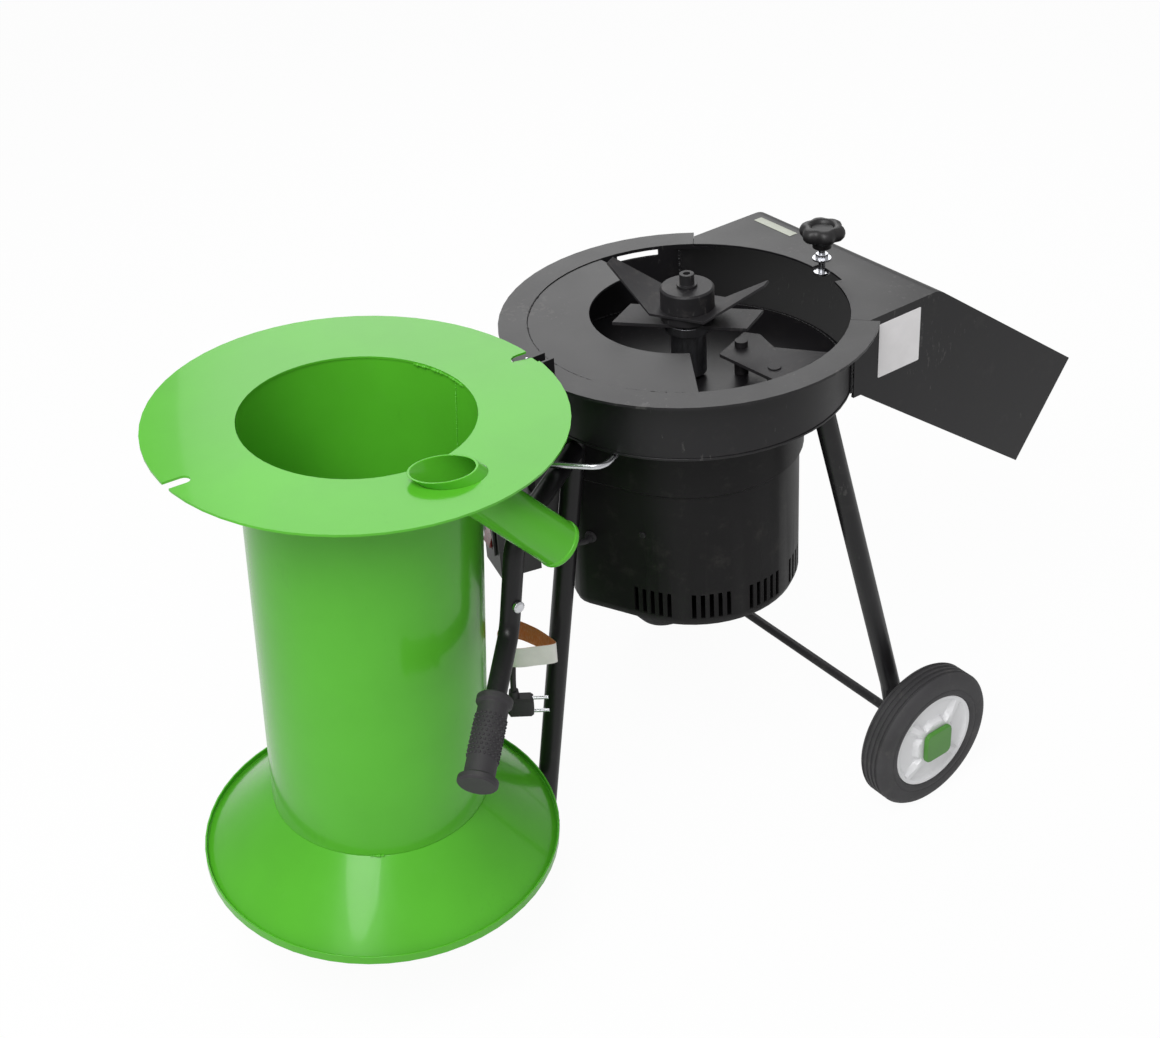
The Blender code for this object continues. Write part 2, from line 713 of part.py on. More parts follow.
def fan_blade():
    """A strip bent up at both sides of the hub, narrower at its tips."""
    root = HUB_RADIUS + 0.002
    rise = Vector((BLADE_REACH - root, BLADE_RISE)).normalized()
    lift = Vector((-rise.y, rise.x)) * BLADE_SHEET
    tip = Vector((BLADE_REACH, BLADE_BOTTOM + BLADE_RISE))
    low = BLADE_BOTTOM
    high = BLADE_BOTTOM + BLADE_SHEET
    stations = [
        (-tip.x, tip.y, -tip.x - lift.x, tip.y + lift.y, BLADE_TIP_WIDTH),
        (-root, low, -root, high, BLADE_ROOT_WIDTH),
        (root, low, root, high, BLADE_ROOT_WIDTH),
        (tip.x, tip.y, tip.x + lift.x, tip.y + lift.y, BLADE_TIP_WIDTH),
    ]
    turn = Matrix.Rotation(math.radians(BLADE_TURN), 3, "Z")
    rings = []
    for under_x, under_z, over_x, over_z, width in stations:
        side = width / 2
        ring = [(under_x, -side, under_z), (under_x, side, under_z), (over_x, side, over_z), (over_x, -side, over_z)]
        rings.append([turn @ Vector(point) for point in ring])
    blade = skin("fan_blade", rings, rotor, DARK_STEEL)
    radius = SHAFT_RADIUS + GAP
    return drill(blade, (0, 0, low - PASS), (0, 0, high + PASS), radius, rotor)


def rotor_stack():
    """Everything on the motor's shaft: hubs, knife, blade and screw."""
    bore = SHAFT_RADIUS + GAP
    fan_bottom = MOTOR_BOTTOM - FAN_CLEARANCE - FAN_HEIGHT
    shaft_bottom = fan_bottom - SHAFT_UNDER_FAN
    hole = ROTOR_SCREW_RADIUS + GAP
    hole_bottom = SHAFT_TOP - ROTOR_SCREW_LENGTH - SCREW_HOLE_SPARE
    seat = KNIFE_BOTTOM - GAP
    neck_top = seat - SHOULDER_HEIGHT
    neck_bottom = FLOOR_TOP + SHOULDER_CLEARANCE
    turned(
        "motor_shaft",
        [(hole, hole_bottom), (hole, SHAFT_TOP), (SHAFT_RADIUS, SHAFT_TOP), (SHAFT_RADIUS, seat),
         (SHOULDER_RADIUS, seat), (SHOULDER_RADIUS, neck_top), (SHOULDER_NECK_RADIUS, neck_top - SHOULDER_TAPER),
         (SHOULDER_NECK_RADIUS, neck_bottom), (SHAFT_RADIUS, neck_bottom), (SHAFT_RADIUS, shaft_bottom)],
        rotor, STEEL, MEDIUM, False,
    )
    spacer_top = SPACER_BOTTOM + SPACER_HEIGHT
    turned(
        "rotor_spacer",
        [(bore, spacer_top), (bore, SPACER_BOTTOM), (HUB_RADIUS, SPACER_BOTTOM), (HUB_RADIUS, spacer_top)],
        rotor, DARK_STEEL, MEDIUM,
    )
    chamfer = HUB_CHAMFER
    turned(
        "rotor_hub",
        [(bore, HUB_TOP), (bore, HUB_BOTTOM), (HUB_RADIUS, HUB_BOTTOM), (HUB_RADIUS, HUB_TOP - chamfer),
         (HUB_RADIUS - chamfer, HUB_TOP)],
        rotor, DARK_STEEL, MEDIUM,
    )
    washer_bottom = HUB_TOP + GAP
    washer_top = washer_bottom + WASHER_HEIGHT
    head_top = washer_top + ROTOR_HEAD_HEIGHT
    socket = head_top - HEX_SOCKET_DEPTH
    turned(
        "rotor_screw",
        [(ROTOR_SCREW_RADIUS, SHAFT_TOP - ROTOR_SCREW_LENGTH), (ROTOR_SCREW_RADIUS, washer_bottom),
         (WASHER_RADIUS, washer_bottom), (WASHER_RADIUS, washer_top), (ROTOR_HEAD_RADIUS, washer_top),
         (ROTOR_HEAD_RADIUS, head_top), (HEX_SOCKET_RADIUS, head_top), (HEX_SOCKET_RADIUS, socket)],
        rotor, DARK_STEEL, COARSE, False,
    )
    middle = MOTOR_TOP - MOTOR_LENGTH / 2
    half = ARMATURE_LENGTH / 2
    turned(
        "armature",
        [(bore, middle + half), (bore, middle - half), (ARMATURE_RADIUS, middle - half),
         (ARMATURE_RADIUS, middle + half)],
        rotor, STEEL, MEDIUM,
    )
    return cooling_fan(fan_bottom, bore)


def cooling_fan(bottom, bore):
    """A disc with straight vanes, below the motor."""
    top = bottom + FAN_HEIGHT
    fan = turned(
        "cooling_fan",
        [(bore, top), (bore, bottom), (FAN_RADIUS, bottom), (FAN_RADIUS, bottom + FAN_PLATE),
         (FAN_BOSS_RADIUS, bottom + FAN_PLATE), (FAN_BOSS_RADIUS, top)],
        rotor, BLACK_PLASTIC, MEDIUM,
    )
    half = FAN_VANE_THICKNESS / 2
    low = bottom + FAN_PLATE / 2
    for number in range(FAN_VANES):
        turn = Matrix.Rotation(math.tau * number / FAN_VANES, 2)
        inner = FAN_BOSS_RADIUS - 0.002
        outer = FAN_RADIUS - 0.002
        plan = [(inner, -half), (outer, -half), (outer, half), (inner, half)]
        outline = [tuple(turn @ Vector(point)) for point in plan]
        vane = slab(f"fan_vane_{number}", outline, low, top - 0.001, rotor, None)
        boolean(fan, vane, "UNION")
    return fan


def motor():
    """The motor's housing, windings and bearings."""
    bore = BEARING_RADIUS + GAP
    boss = bore + BOSS_WALL
    inner = MOTOR_RADIUS - MOTOR_SHEET
    top = MOTOR_TOP
    bottom = MOTOR_BOTTOM
    turned(
        "motor_housing",
        [(MOTOR_RADIUS, top), (bore, top), (bore, top - MOTOR_PLATE - BOSS_HEIGHT),
         (boss, top - MOTOR_PLATE - BOSS_HEIGHT), (boss, top - MOTOR_PLATE), (inner, top - MOTOR_PLATE),
         (inner, bottom + MOTOR_PLATE), (boss, bottom + MOTOR_PLATE), (boss, bottom + MOTOR_PLATE + BOSS_HEIGHT),
         (bore, bottom + MOTOR_PLATE + BOSS_HEIGHT), (bore, bottom), (MOTOR_RADIUS, bottom)],
        machine, DARK_STEEL, MEDIUM,
    )
    middle = (top + bottom) / 2
    half = STATOR_LENGTH / 2
    slot = ARMATURE_RADIUS + AIR_GAP
    turned(
        "stator",
        [(STATOR_RADIUS, middle + half), (slot, middle + half), (slot, middle - half),
         (STATOR_RADIUS, middle - half)],
        machine, COPPER, MEDIUM,
    )
    for name, high in (
        ("bearing_upper", top - BEARING_DEPTH), ("bearing_lower", bottom + BEARING_DEPTH + BEARING_WIDTH),
    ):
        low = high - BEARING_WIDTH
        turned(
            name,
            [(BEARING_RADIUS, high), (SHAFT_RADIUS + GAP, high), (SHAFT_RADIUS + GAP, low), (BEARING_RADIUS, low)],
            machine, BRIGHT_ZINC, MEDIUM,
        )


def cover_plan(offset, height):
    """The cover's outline, moved outwards by an offset: a half circle, two flat sides and a flat end."""
    radius = COVER_RADIUS + offset
    corner = COVER_CORNER + offset
    end = COVER_END + offset
    points = []
    for step in range(29):
        angle = math.pi + math.pi * step / 28
        points.append((radius * math.cos(angle), radius * math.sin(angle)))
    for step in range(6):
        angle = math.pi / 2 * step / 5
        points.append((radius - corner + corner * math.cos(angle), end - corner + corner * math.sin(angle)))
    for step in range(6):
        angle = math.pi / 2 + math.pi / 2 * step / 5
        points.append((corner - radius + corner * math.cos(angle), end - corner + corner * math.sin(angle)))
    turn = Matrix.Rotation(math.radians(COVER_TURN - 90.0), 3, "Z")
    return [turn @ Vector((x, y, height)) for x, y in points]


def motor_cover():
    """A pressed shell round the motor, open at the top against the pan floor, with slots above its lower edge."""
    levels = [
        (UNDER_FLOOR, 0.0), (-COVER_BAND_TOP + COVER_BAND, 0.0), (-COVER_BAND_TOP, COVER_BAND),
        (-COVER_BAND_BOTTOM, COVER_BAND), (-COVER_BAND_BOTTOM - COVER_BAND, 0.0),
        (-COVER_BOTTOM + COVER_EDGE, 0.0), (-COVER_BOTTOM, -COVER_EDGE_STEP),
    ]
    inside = [
        (UNDER_FLOOR, -COVER_WALL), (-COVER_BAND_TOP + COVER_BAND, -COVER_WALL),
        (-COVER_BAND_TOP, COVER_BAND - COVER_WALL), (-COVER_BAND_BOTTOM, COVER_BAND - COVER_WALL),
        (-COVER_BAND_BOTTOM - COVER_BAND, -COVER_WALL), (-COVER_BOTTOM + COVER_EDGE, -COVER_WALL),
        (-COVER_BOTTOM + COVER_WALL, -COVER_EDGE_STEP - COVER_WALL),
    ]
    rings = [cover_plan(offset, height) for height, offset in inside[::-1] + levels]
    cover = skin("motor_cover", rings, machine, BLACK_PLASTIC)
    half = VENT_WIDTH / 2
    low = -COVER_BOTTOM + VENT_LIFT
    for group in range(VENT_GROUPS):
        for number in range(VENTS_PER_GROUP):
            angle = VENT_START + VENT_GROUP_PITCH * group + VENT_PITCH * number
            turn = Matrix.Rotation(math.radians(angle), 2)
            plan = [(COVER_RADIUS - PASS, -half), (COVER_RADIUS + PASS, -half), (COVER_RADIUS + PASS, half),
                    (COVER_RADIUS - PASS, half)]
            outline = [tuple(turn @ Vector(point)) for point in plan]
            boolean(cover, slab(f"vent_{group}_{number}", outline, low, low + VENT_HEIGHT, machine, None))
    for number in range(COVER_HOLES):
        place = polar(COVER_HOLE_CIRCLE, 360.0 * number / COVER_HOLES)
        start = (place.x, place.y, -COVER_BOTTOM - PASS)
        end = (place.x, place.y, -COVER_BOTTOM + PASS)
        drill(cover, start, end, COVER_HOLE_RADIUS, machine)
    return cover


def legs():
    """One front leg with a rubber foot, and two rear legs squeezed flat round the axle."""
    floor = -RIM_HEIGHT
    top = (FRONT_LEG_TOP_X, 0.0, UNDER_FLOOR)
    foot = (FRONT_LEG_FOOT_X, 0.0, floor)
    end = floor + FOOT_SOLE + GAP
    bore = LEG_RADIUS - LEG_WALL
    outside = straight_leg_rings(top, foot, (top[2], end), LEG_RADIUS)
    inside = straight_leg_rings(top, foot, (end, top[2]), bore)
    skin("front_leg", outside + inside, machine, BLACK_PAINT, closed=True)
    high = floor + FOOT_HEIGHT
    rubber = straight_leg_rings(top, foot, (floor, high - 0.003), FOOT_RADIUS, MEDIUM)
    rubber += straight_leg_rings(top, foot, (high,), FOOT_RADIUS - 0.003, MEDIUM)
    rubber += straight_leg_rings(top, foot, (high, floor + FOOT_SOLE), LEG_RADIUS + GAP, MEDIUM)
    skin("front_foot", rubber, machine, BLACK_RUBBER)
    rear_leg("rear_leg_right", -1)
    rear_leg("rear_leg_left", 1)


def rear_leg(name, side):
    """A round tube from the pan floor, squeezed flat at its lower end where the axle passes."""
    place = polar(WALL_RADIUS - REAR_LEG_INSET, REAR_LEG_ANGLE)
    top = Vector((place[0], side * place[1], UNDER_FLOOR))
    lower_y = AXLE_SHIFT + side * LEG_SPREAD
    axle = Vector((AXLE_X, lower_y, AXLE_Z))
    squeeze_end = AXLE_Z + LEG_END_LENGTH / 2 + LEG_FLAT_RISE
    squeeze_start = squeeze_end + LEG_SQUEEZE_LENGTH
    bottom = AXLE_Z - LEG_END_LENGTH / 2
    segments = COARSE

    def level(height, half_x, half_y):
        centre = top + (axle - top) * ((height - top.z) / (axle.z - top.z))
        ring = []
        for step in range(segments):
            angle = math.tau * step / segments
            ring.append(Vector((centre.x + half_x * math.cos(angle), centre.y + half_y * math.sin(angle), height)))
        return ring

    bore = LEG_RADIUS - LEG_WALL
    inner_end = squeeze_start + LEG_BORE_END
    rings = [level(inner_end, bore, bore), level(top.z, bore, bore), level(top.z, LEG_RADIUS, LEG_RADIUS),
             level(squeeze_start, LEG_RADIUS, LEG_RADIUS)]
    for height in (squeeze_end, AXLE_Z, bottom):
        rings.append(level(height, LEG_END_HALF_WIDTH, LEG_END_HALF_THICKNESS))
    rings[-1] = [point.lerp(Vector((axle.x, lower_y, bottom)), LEG_END_ROUNDING) for point in rings[-1]]
    leg = skin(name, rings, machine, BLACK_PAINT)
    start = (AXLE_X, lower_y - 2 * PASS, AXLE_Z)
    end = (AXLE_X, lower_y + 2 * PASS, AXLE_Z)
    return drill(leg, start, end, AXLE_RADIUS + GAP, machine)


def wheels():
    """The axle and its two wheels: a tyre on a dished disc, with a square cap over the axle's end."""
    half_track = WHEEL_TRACK / 2
    end = half_track + WHEEL_WIDTH / 2 + BOSS_PROUD + AXLE_END
    rod("axle", (AXLE_X, AXLE_SHIFT - end, AXLE_Z), (AXLE_X, AXLE_SHIFT + end, AXLE_Z), AXLE_RADIUS, machine,
        DARK_STEEL)
    for name, side in (("right", -1), ("left", 1)):
        place = (AXLE_X, AXLE_SHIFT + side * half_track, AXLE_Z)
        axis = empty(f"wheel_{name}_axis", machine, place, (math.radians(-90.0 * side), 0.0, 0.0))
        wheel(name, axis)


def wheel(name, axis):
    """One wheel, drawn about +Z with its outer face up."""
    half = WHEEL_WIDTH / 2
    groove = TYRE_GROOVE_DEPTH
    tread = [(WHEEL_RADIUS - TYRE_SHOULDER, half), (WHEEL_RADIUS - TYRE_SHOULDER / 3, half - TYRE_SHOULDER / 3)]
    pitch = (WHEEL_WIDTH - 2 * TYRE_SHOULDER) / (TYRE_GROOVES + 1)
    wide = TYRE_GROOVE_WIDTH / 2
    tread.append((WHEEL_RADIUS, half - TYRE_SHOULDER))
    for number in range(TYRE_GROOVES):
        height = half - TYRE_SHOULDER - pitch * (number + 1)
        tread += [(WHEEL_RADIUS, height + wide), (WHEEL_RADIUS - groove, height), (WHEEL_RADIUS, height - wide)]
    tread.append((WHEEL_RADIUS, TYRE_SHOULDER - half))
    tread += [(WHEEL_RADIUS - TYRE_SHOULDER / 3, TYRE_SHOULDER / 3 - half), (WHEEL_RADIUS - TYRE_SHOULDER, -half)]
    turned(
        f"tyre_{name}",
        [(TYRE_INNER_RADIUS, half - TYRE_SHOULDER / 2)] + tread + [(TYRE_INNER_RADIUS, TYRE_SHOULDER / 2 - half)],
        axis, BLACK_RUBBER, WHEEL_FACETS,
    )
    outer = TYRE_INNER_RADIUS - GAP
    inner = outer - DISC_RIM
    high = half - TYRE_SHOULDER / 2
    web = DISC_WEB / 2
    bore = AXLE_RADIUS + GAP
    boss = half + BOSS_PROUD
    turned(
        f"wheel_disc_{name}",
        [(outer, high), (inner, high), (inner - 0.003, web), (DISC_HUB_RADIUS, web), (DISC_HUB_RADIUS - 0.002, boss),
         (bore, boss), (bore, -half), (DISC_HUB_RADIUS, -half), (DISC_HUB_RADIUS, -web), (inner, -web),
         (inner, -high), (outer, -high)],
        axis, WHITE_PLASTIC, WHEEL_FACETS,
    )
    hub_cap(name, axis, boss + GAP)


def hub_cap(name, axis, low):
    """A square cap with round corners, hollow over the end of the axle."""
    half = CAP_SIDE / 2
    centre = half - CAP_CORNER
    plan = []
    for number, (x, y) in enumerate(((centre, centre), (-centre, centre), (-centre, -centre), (centre, -centre))):
        plan += arc(CAP_CORNER, 90.0 * number, 90.0 * number + 90.0, 3, (x, y))
    high = low + CAP_HEIGHT
    rings = []
    for height, scale in ((low, 1.0), (high - 0.0015, 1.0), (high, 0.94)):
        rings.append([Vector((x * scale, y * scale, height)) for x, y in plan])
    cap = skin(f"hub_cap_{name}", rings, axis, GREEN_PLASTIC)
    return drill(cap, (0, 0, low - PASS), (0, 0, low + AXLE_END), AXLE_RADIUS + GAP, axis)


def handle_path(side):
    """From the front leg forwards under the pan, down, then out sideways to the grip's end."""
    height = UNDER_FLOOR - HANDLE_DROP - HANDLE_RADIUS
    start = Vector((HANDLE_START[0], side * -HANDLE_START[1], height))
    knee = Vector((HANDLE_KNEE[0], side * HANDLE_Y, HANDLE_KNEE[1]))
    elbow = Vector((HANDLE_ELBOW[0], side * HANDLE_Y, HANDLE_ELBOW[1]))
    out = Vector(HANDLE_GRIP_DIRECTION)
    out.y *= -side
    end = elbow + out.normalized() * HANDLE_LENGTH
    return [start, knee, elbow, end]


def handles():
    for name, side in (("right", -1), ("left", 1)):
        corners = handle_path(side)
        tube = pipe(f"handle_{name}", bent(corners, HANDLE_BEND), HANDLE_RADIUS, machine, BLACK_PAINT, COARSE,
                    HANDLE_RADIUS - HANDLE_WALL)
        out = (corners[3] - corners[2]).normalized()
        grip(name, corners[3], out)
        handle_bolt(name, side, tube, corners)


def grip(name, end, out):
    """A rubber sleeve over the handle's end, with a collar at one end and a flange at the other."""
    turn = out.to_track_quat("Z", "Y").to_matrix().to_3x3()
    low = GRIP_END + GAP - GRIP_LENGTH
    top = GRIP_END + GAP
    bore = HANDLE_RADIUS + GAP
    sections = [
        (bore, low), (GRIP_COLLAR_RADIUS - 0.002, low), (GRIP_COLLAR_RADIUS, low + 0.002),
        (GRIP_COLLAR_RADIUS, low + GRIP_COLLAR), (GRIP_RADIUS, low + GRIP_COLLAR + 0.003),
        (GRIP_RADIUS, top - GRIP_FLANGE - 0.003), (GRIP_FLANGE_RADIUS, top - GRIP_FLANGE),
        (GRIP_FLANGE_RADIUS, top - 0.002), (GRIP_FLANGE_RADIUS - 0.002, top),
    ]
    rings = [circle(bore, MEDIUM, GAP)] + [circle(radius, MEDIUM, height) for radius, height in sections]
    placed = [[end + turn @ point for point in ring] for ring in rings]
    return skin(f"grip_{name}", placed, machine, BLACK_RUBBER)


def handle_bolt(name, side, tube, corners):
    """A bolt through the handle's upright."""
    share = (HANDLE_BOLT_DROP + corners[1].z) / (corners[1].z - corners[2].z)
    centre = corners[1].lerp(corners[2], share)
    tangent = (corners[2] - corners[1]).normalized()
    across = Vector((0.0, side, 0.0))
    across = (across - tangent * across.dot(tangent)).normalized()
    face = HANDLE_RADIUS + GAP
    start = centre - across * (HANDLE_RADIUS + 0.002)
    head = centre + across * face
    turn = across.to_track_quat("Z", "Y").to_matrix().to_3x3()
    length = (head - start).length
    rings = []
    for radius, height in (
        (HANDLE_BOLT_RADIUS, -length), (HANDLE_BOLT_RADIUS, 0.0), (HANDLE_BOLT_HEAD_RADIUS, 0.0),
        (HANDLE_BOLT_HEAD_RADIUS, HANDLE_BOLT_HEAD - 0.0015), (HANDLE_BOLT_HEAD_RADIUS * 0.7, HANDLE_BOLT_HEAD),
    ):
        rings.append([head + turn @ point for point in circle(radius, 16, height)])
    skin(f"handle_bolt_{name}", rings, machine, BRIGHT_ZINC)
    reach = across * (HANDLE_RADIUS + PASS)
    return drill(tube, centre - reach, centre + reach, HANDLE_BOLT_RADIUS + GAP, machine)


def hopper_rest():
    """A bent rod under the pan, whose round nose the open hopper's tube leans on."""
    height = UNDER_FLOOR - ROD_RADIUS
    lean = hopper_axis_at(height)
    nose = lean.x + TUBE_INNER_RADIUS + TUBE_SHEET + GAP + ROD_RADIUS
    right = [ROD_FIRST, ROD_CORNER, ROD_SLANT_END, (nose + ROD_NECK, ROD_NECK)]
    corners = [Vector((x, -y, height)) for x, y in right]
    path = bent(corners, ROD_BEND, 3)[:-1]
    middle = [Vector((*polar(ROD_NECK, angle, 0.0, (nose + ROD_NECK, 0.0))[:2], height))
              for angle in (270.0, 247.5, 225.0, 202.5, 180.0, 157.5, 135.0, 112.5, 90.0)]
    mirrored = [Vector((point.x, -point.y, point.z)) for point in path[::-1]]
    return pipe("hopper_rest", path + middle + mirrored, ROD_RADIUS, machine, BRIGHT_ZINC, 12)


def hopper_turn():
    """The rotation that opens the hopper about its slightly leaning hinge."""
    lean = math.radians(HINGE_LEAN)
    axis = Vector((0.0, math.cos(lean), math.sin(lean)))
    return Matrix.Rotation(math.radians(-HOPPER_OPENING), 3, axis)


def hopper_axis_at(height):
    """Where the open hopper's axis passes a height."""
    hinge = Vector((-HINGE_REACH, HINGE_Y, HINGE_HEIGHT))
    turn = hopper_turn()
    start = hinge + turn @ (Vector((0.0, 0.0, 0.0)) - hinge)
    along = turn @ Vector((0.0, 0.0, 1.0))
    return start + along * ((height - start.z) / along.z)


def box_frame():
    """The switch box's own axes: X out through its switch face, Z up."""
    turn = Matrix.Rotation(math.radians(BOX_TURN), 3, "Z")
    return turn, Vector((*BOX_CORNER, -BOX_BOTTOM))


def box_point(x, y, z):
    turn, corner = box_frame()
    return corner + turn @ Vector((x, y, z))


def box_block(name, low, high, finish, guide_parent=None):
    """A block with its sides square to the switch box."""
    rings = []
    for z in (low[2], high[2]):
        rings.append([box_point(x, y, z) for x, y in
                      ((low[0], low[1]), (high[0], low[1]), (high[0], high[1]), (low[0], high[1]))])
    return skin(name, rings, guide_parent or machine, finish)


def switch_box():
    """The switch box, hollow, with its switch on the front and two glands, on a bracket from the front leg."""
    box = box_block("switch_box", (0.0, 0.0, 0.0), (BOX_DEPTH, BOX_WIDTH, BOX_HEIGHT), BLACK_PLASTIC)
    wall = BOX_WALL
    inner = (BOX_DEPTH - wall, BOX_WIDTH - wall, BOX_HEIGHT - wall)
    boolean(box, box_block("box_hollow", (wall, wall, wall), inner, None))
    middle_y = BOX_WIDTH / 2
    half_y = SWITCH_WIDTH / 2
    half_z = SWITCH_HEIGHT / 2
    window_low = (-PASS, middle_y - half_y, SWITCH_LIFT - half_z)
    window_high = (wall + PASS / 2, middle_y + half_y, SWITCH_LIFT + half_z)
    boolean(box, box_block("switch_window", window_low, window_high, None))
    turn, _ = box_frame()
    down = Vector((0.0, 0.0, -1.0))
    gland("cord_gland", box, box_point(*CORD_GLAND_PLACE, 0.0), down, GLAND_LENGTH)
    back = box_point(BOX_DEPTH, *CABLE_GLAND_PLACE)
    gland("cable_gland", box, back, turn @ Vector((1.0, 0.0, 0.0)), SHORT_GLAND_LENGTH)
    switch(middle_y, half_y, half_z)
    box_bracket()
    return box


def gland(name, box, seat, out, length):
    """A gland through the box wall: a nut and a tapering sleeve outside, a thread and a lock nut inside."""
    turn = out.to_track_quat("Z", "Y").to_matrix().to_3x3()
    inside = -BOX_WALL - GAP
    thread = GLAND_RADIUS - GLAND_THREAD_STEP
    lock_nut = thread + GLAND_LOCK_NUT_STEP
    end = inside - GLAND_LOCK_NUT
    bore = CORD_RADIUS + GAP
    profile = [
        (bore, length), (GLAND_TIP_RADIUS, length), (GLAND_RADIUS, GLAND_NUT + GLAND_SHOULDER),
        (GLAND_NUT_RADIUS, GLAND_NUT), (GLAND_NUT_RADIUS, GAP), (thread, GAP), (thread, inside),
        (lock_nut, inside), (lock_nut, end), (bore, end),
    ]
    rings = [[seat + turn @ point for point in circle(radius, COARSE, height)] for radius, height in profile]
    piece = skin(name, rings, machine, BLACK_PLASTIC, closed=True)
    drill(box, seat - out * PASS, seat + out * PASS, thread + GAP, machine)
    return piece


def switch(middle_y, half_y, half_z):
    """The switch's frame, with a sleeve through the window, and its rocker."""
    fit = GAP
    proud = SWITCH_PROUD
    border = SWITCH_FRAME
    frame = box_block(
        "switch_frame", (-proud - fit, middle_y - half_y - border, SWITCH_LIFT - half_z - border),
        (-fit, middle_y + half_y + border, SWITCH_LIFT + half_z + border), BLACK_PLASTIC,
    )
    sleeve = box_block(
        "switch_sleeve", (-proud / 2 - fit, middle_y - half_y + fit, SWITCH_LIFT - half_z + fit),
        (SWITCH_SLEEVE_DEPTH, middle_y + half_y - fit, SWITCH_LIFT + half_z - fit), None,
    )
    boolean(frame, sleeve, "UNION")
    inner_y = half_y - fit - SWITCH_SLEEVE
    inner_z = half_z - fit - SWITCH_SLEEVE
    hole = box_block(
        "switch_hole", (-PASS, middle_y - inner_y, SWITCH_LIFT - inner_z),
        (SWITCH_SLEEVE_DEPTH + PASS, middle_y + inner_y, SWITCH_LIFT + inner_z), None,
    )
    boolean(frame, hole)
    turn = Matrix.Rotation(math.radians(BOX_TURN), 3, "Z") @ Matrix.Rotation(math.radians(ROCKER_TILT), 3, "Y")
    axis = empty("rocker_axis", machine, box_point(ROCKER_PIVOT, middle_y, SWITCH_LIFT), turn.to_euler())
    half_height = inner_z - ROCKER_CLEARANCE
    half_width = inner_y - ROCKER_CLEARANCE / 2
    back = ROCKER_BACK
    section = [(back, half_height * 0.75), (0.0, half_height), (-ROCKER_EDGE - ROCKER_PIVOT, half_height * 0.94),
               (-ROCKER_WAIST - ROCKER_PIVOT, 0.0), (-ROCKER_EDGE - ROCKER_PIVOT, -half_height * 0.94),
               (0.0, -half_height), (back, -half_height * 0.75)]
    extruded("switch_rocker", section, -half_width, half_width, axis, RED_PLASTIC)


def box_bracket():
    """An angle plate from the back of the box to the front leg."""
    start = BOX_DEPTH + GAP
    flange = start + BRACKET_FLANGE
    side = GAP
    web = side + BRACKET_SHEET
    plan = [(start, side), (BRACKET_REACH, side), (BRACKET_REACH, web), (flange, web), (flange, BRACKET_WIDTH),
            (start, BRACKET_WIDTH)]
    rings = []
    for z in (BRACKET_LIFT, BRACKET_LIFT + BRACKET_HEIGHT):
        rings.append([box_point(x, y, z) for x, y in plan])
    bracket = skin("switch_bracket", rings, machine, BLACK_PAINT)
    top = (FRONT_LEG_TOP_X, 0.0, UNDER_FLOOR)
    foot = (FRONT_LEG_FOOT_X, 0.0, -RIM_HEIGHT)
    span = (-BOX_BOTTOM - PASS, -BOX_BOTTOM + BRACKET_LIFT + BRACKET_HEIGHT + PASS)
    leg = straight_leg_rings(top, foot, span, LEG_RADIUS + GAP)
    boolean(bracket, skin("leg_notch", leg, machine, None))
    beyond = straight_leg_rings(
        (FRONT_LEG_TOP_X + BRACKET_CUT, 0.0, UNDER_FLOOR), (FRONT_LEG_FOOT_X + BRACKET_CUT, 0.0, -RIM_HEIGHT),
        span, BRACKET_CUT,
    )
    return boolean(bracket, skin("bracket_end", beyond, machine, None))


def smooth_route(points, count, start_out=None, end_out=None):
    """Points read from a smooth curve through a cord's own points."""
    points = [Vector(point) for point in points]
    first = points[0] - (start_out or (points[1] - points[0]))
    last = points[-1] + (end_out or (points[-1] - points[-2]))
    chain = [first] + points + [last]
    route = []
    spans = len(points) - 1
    for step in range(count + 1):
        place = spans * step / count
        index = min(int(place), spans - 1)
        t = place - index
        a, b, c, d = chain[index:index + 4]
        route.append(0.5 * ((2 * b) + (c - a) * t + (2 * a - 5 * b + 4 * c - d) * t * t
                            + (3 * b - a - 3 * c + d) * t ** 3))
    return route


def cord(name, route, finish):
    """A round cord: a curve with a bevel and filled ends."""
    curve = bpy.data.curves.new(name, "CURVE")
    curve.dimensions = "3D"
    curve.resolution_u = 1
    curve.render_resolution_u = 0
    curve.bevel_depth = CORD_RADIUS
    curve.bevel_resolution = 2
    curve.use_fill_caps = True
    spline = curve.splines.new("POLY")
    spline.points.add(len(route) - 1)
    for target, point in zip(spline.points, route):
        target.co = (*point, 1.0)
    curve.materials.append(finish)
    piece = bpy.data.objects.new(name, curve)
    bpy.context.collection.objects.link(piece)
    piece.parent = machine
    return piece


def supply_cord():
    """The short supply cord hanging from the box, with its plug and its paper tag."""
    start = box_point(*CORD_GLAND_PLACE, -GLAND_LENGTH - GAP)
    turn = Matrix.Rotation(math.radians(PLUG_TURN), 3, "Z")
    front = Vector(PLUG_FRONT)
    entry = front + turn @ Vector((-PLUG_ENTRY, 0.0, PLUG_HEIGHT / 2 + PLUG_ENTRY_HEIGHT + GAP))
    points = [start, *CORD_ROUTE, entry]
    down = Vector((0.0, 0.0, -0.016))
    cord("power_cord", smooth_route(points, 24, down, down), BLACK_RUBBER)
    plug(front, turn)
    cord_tag()


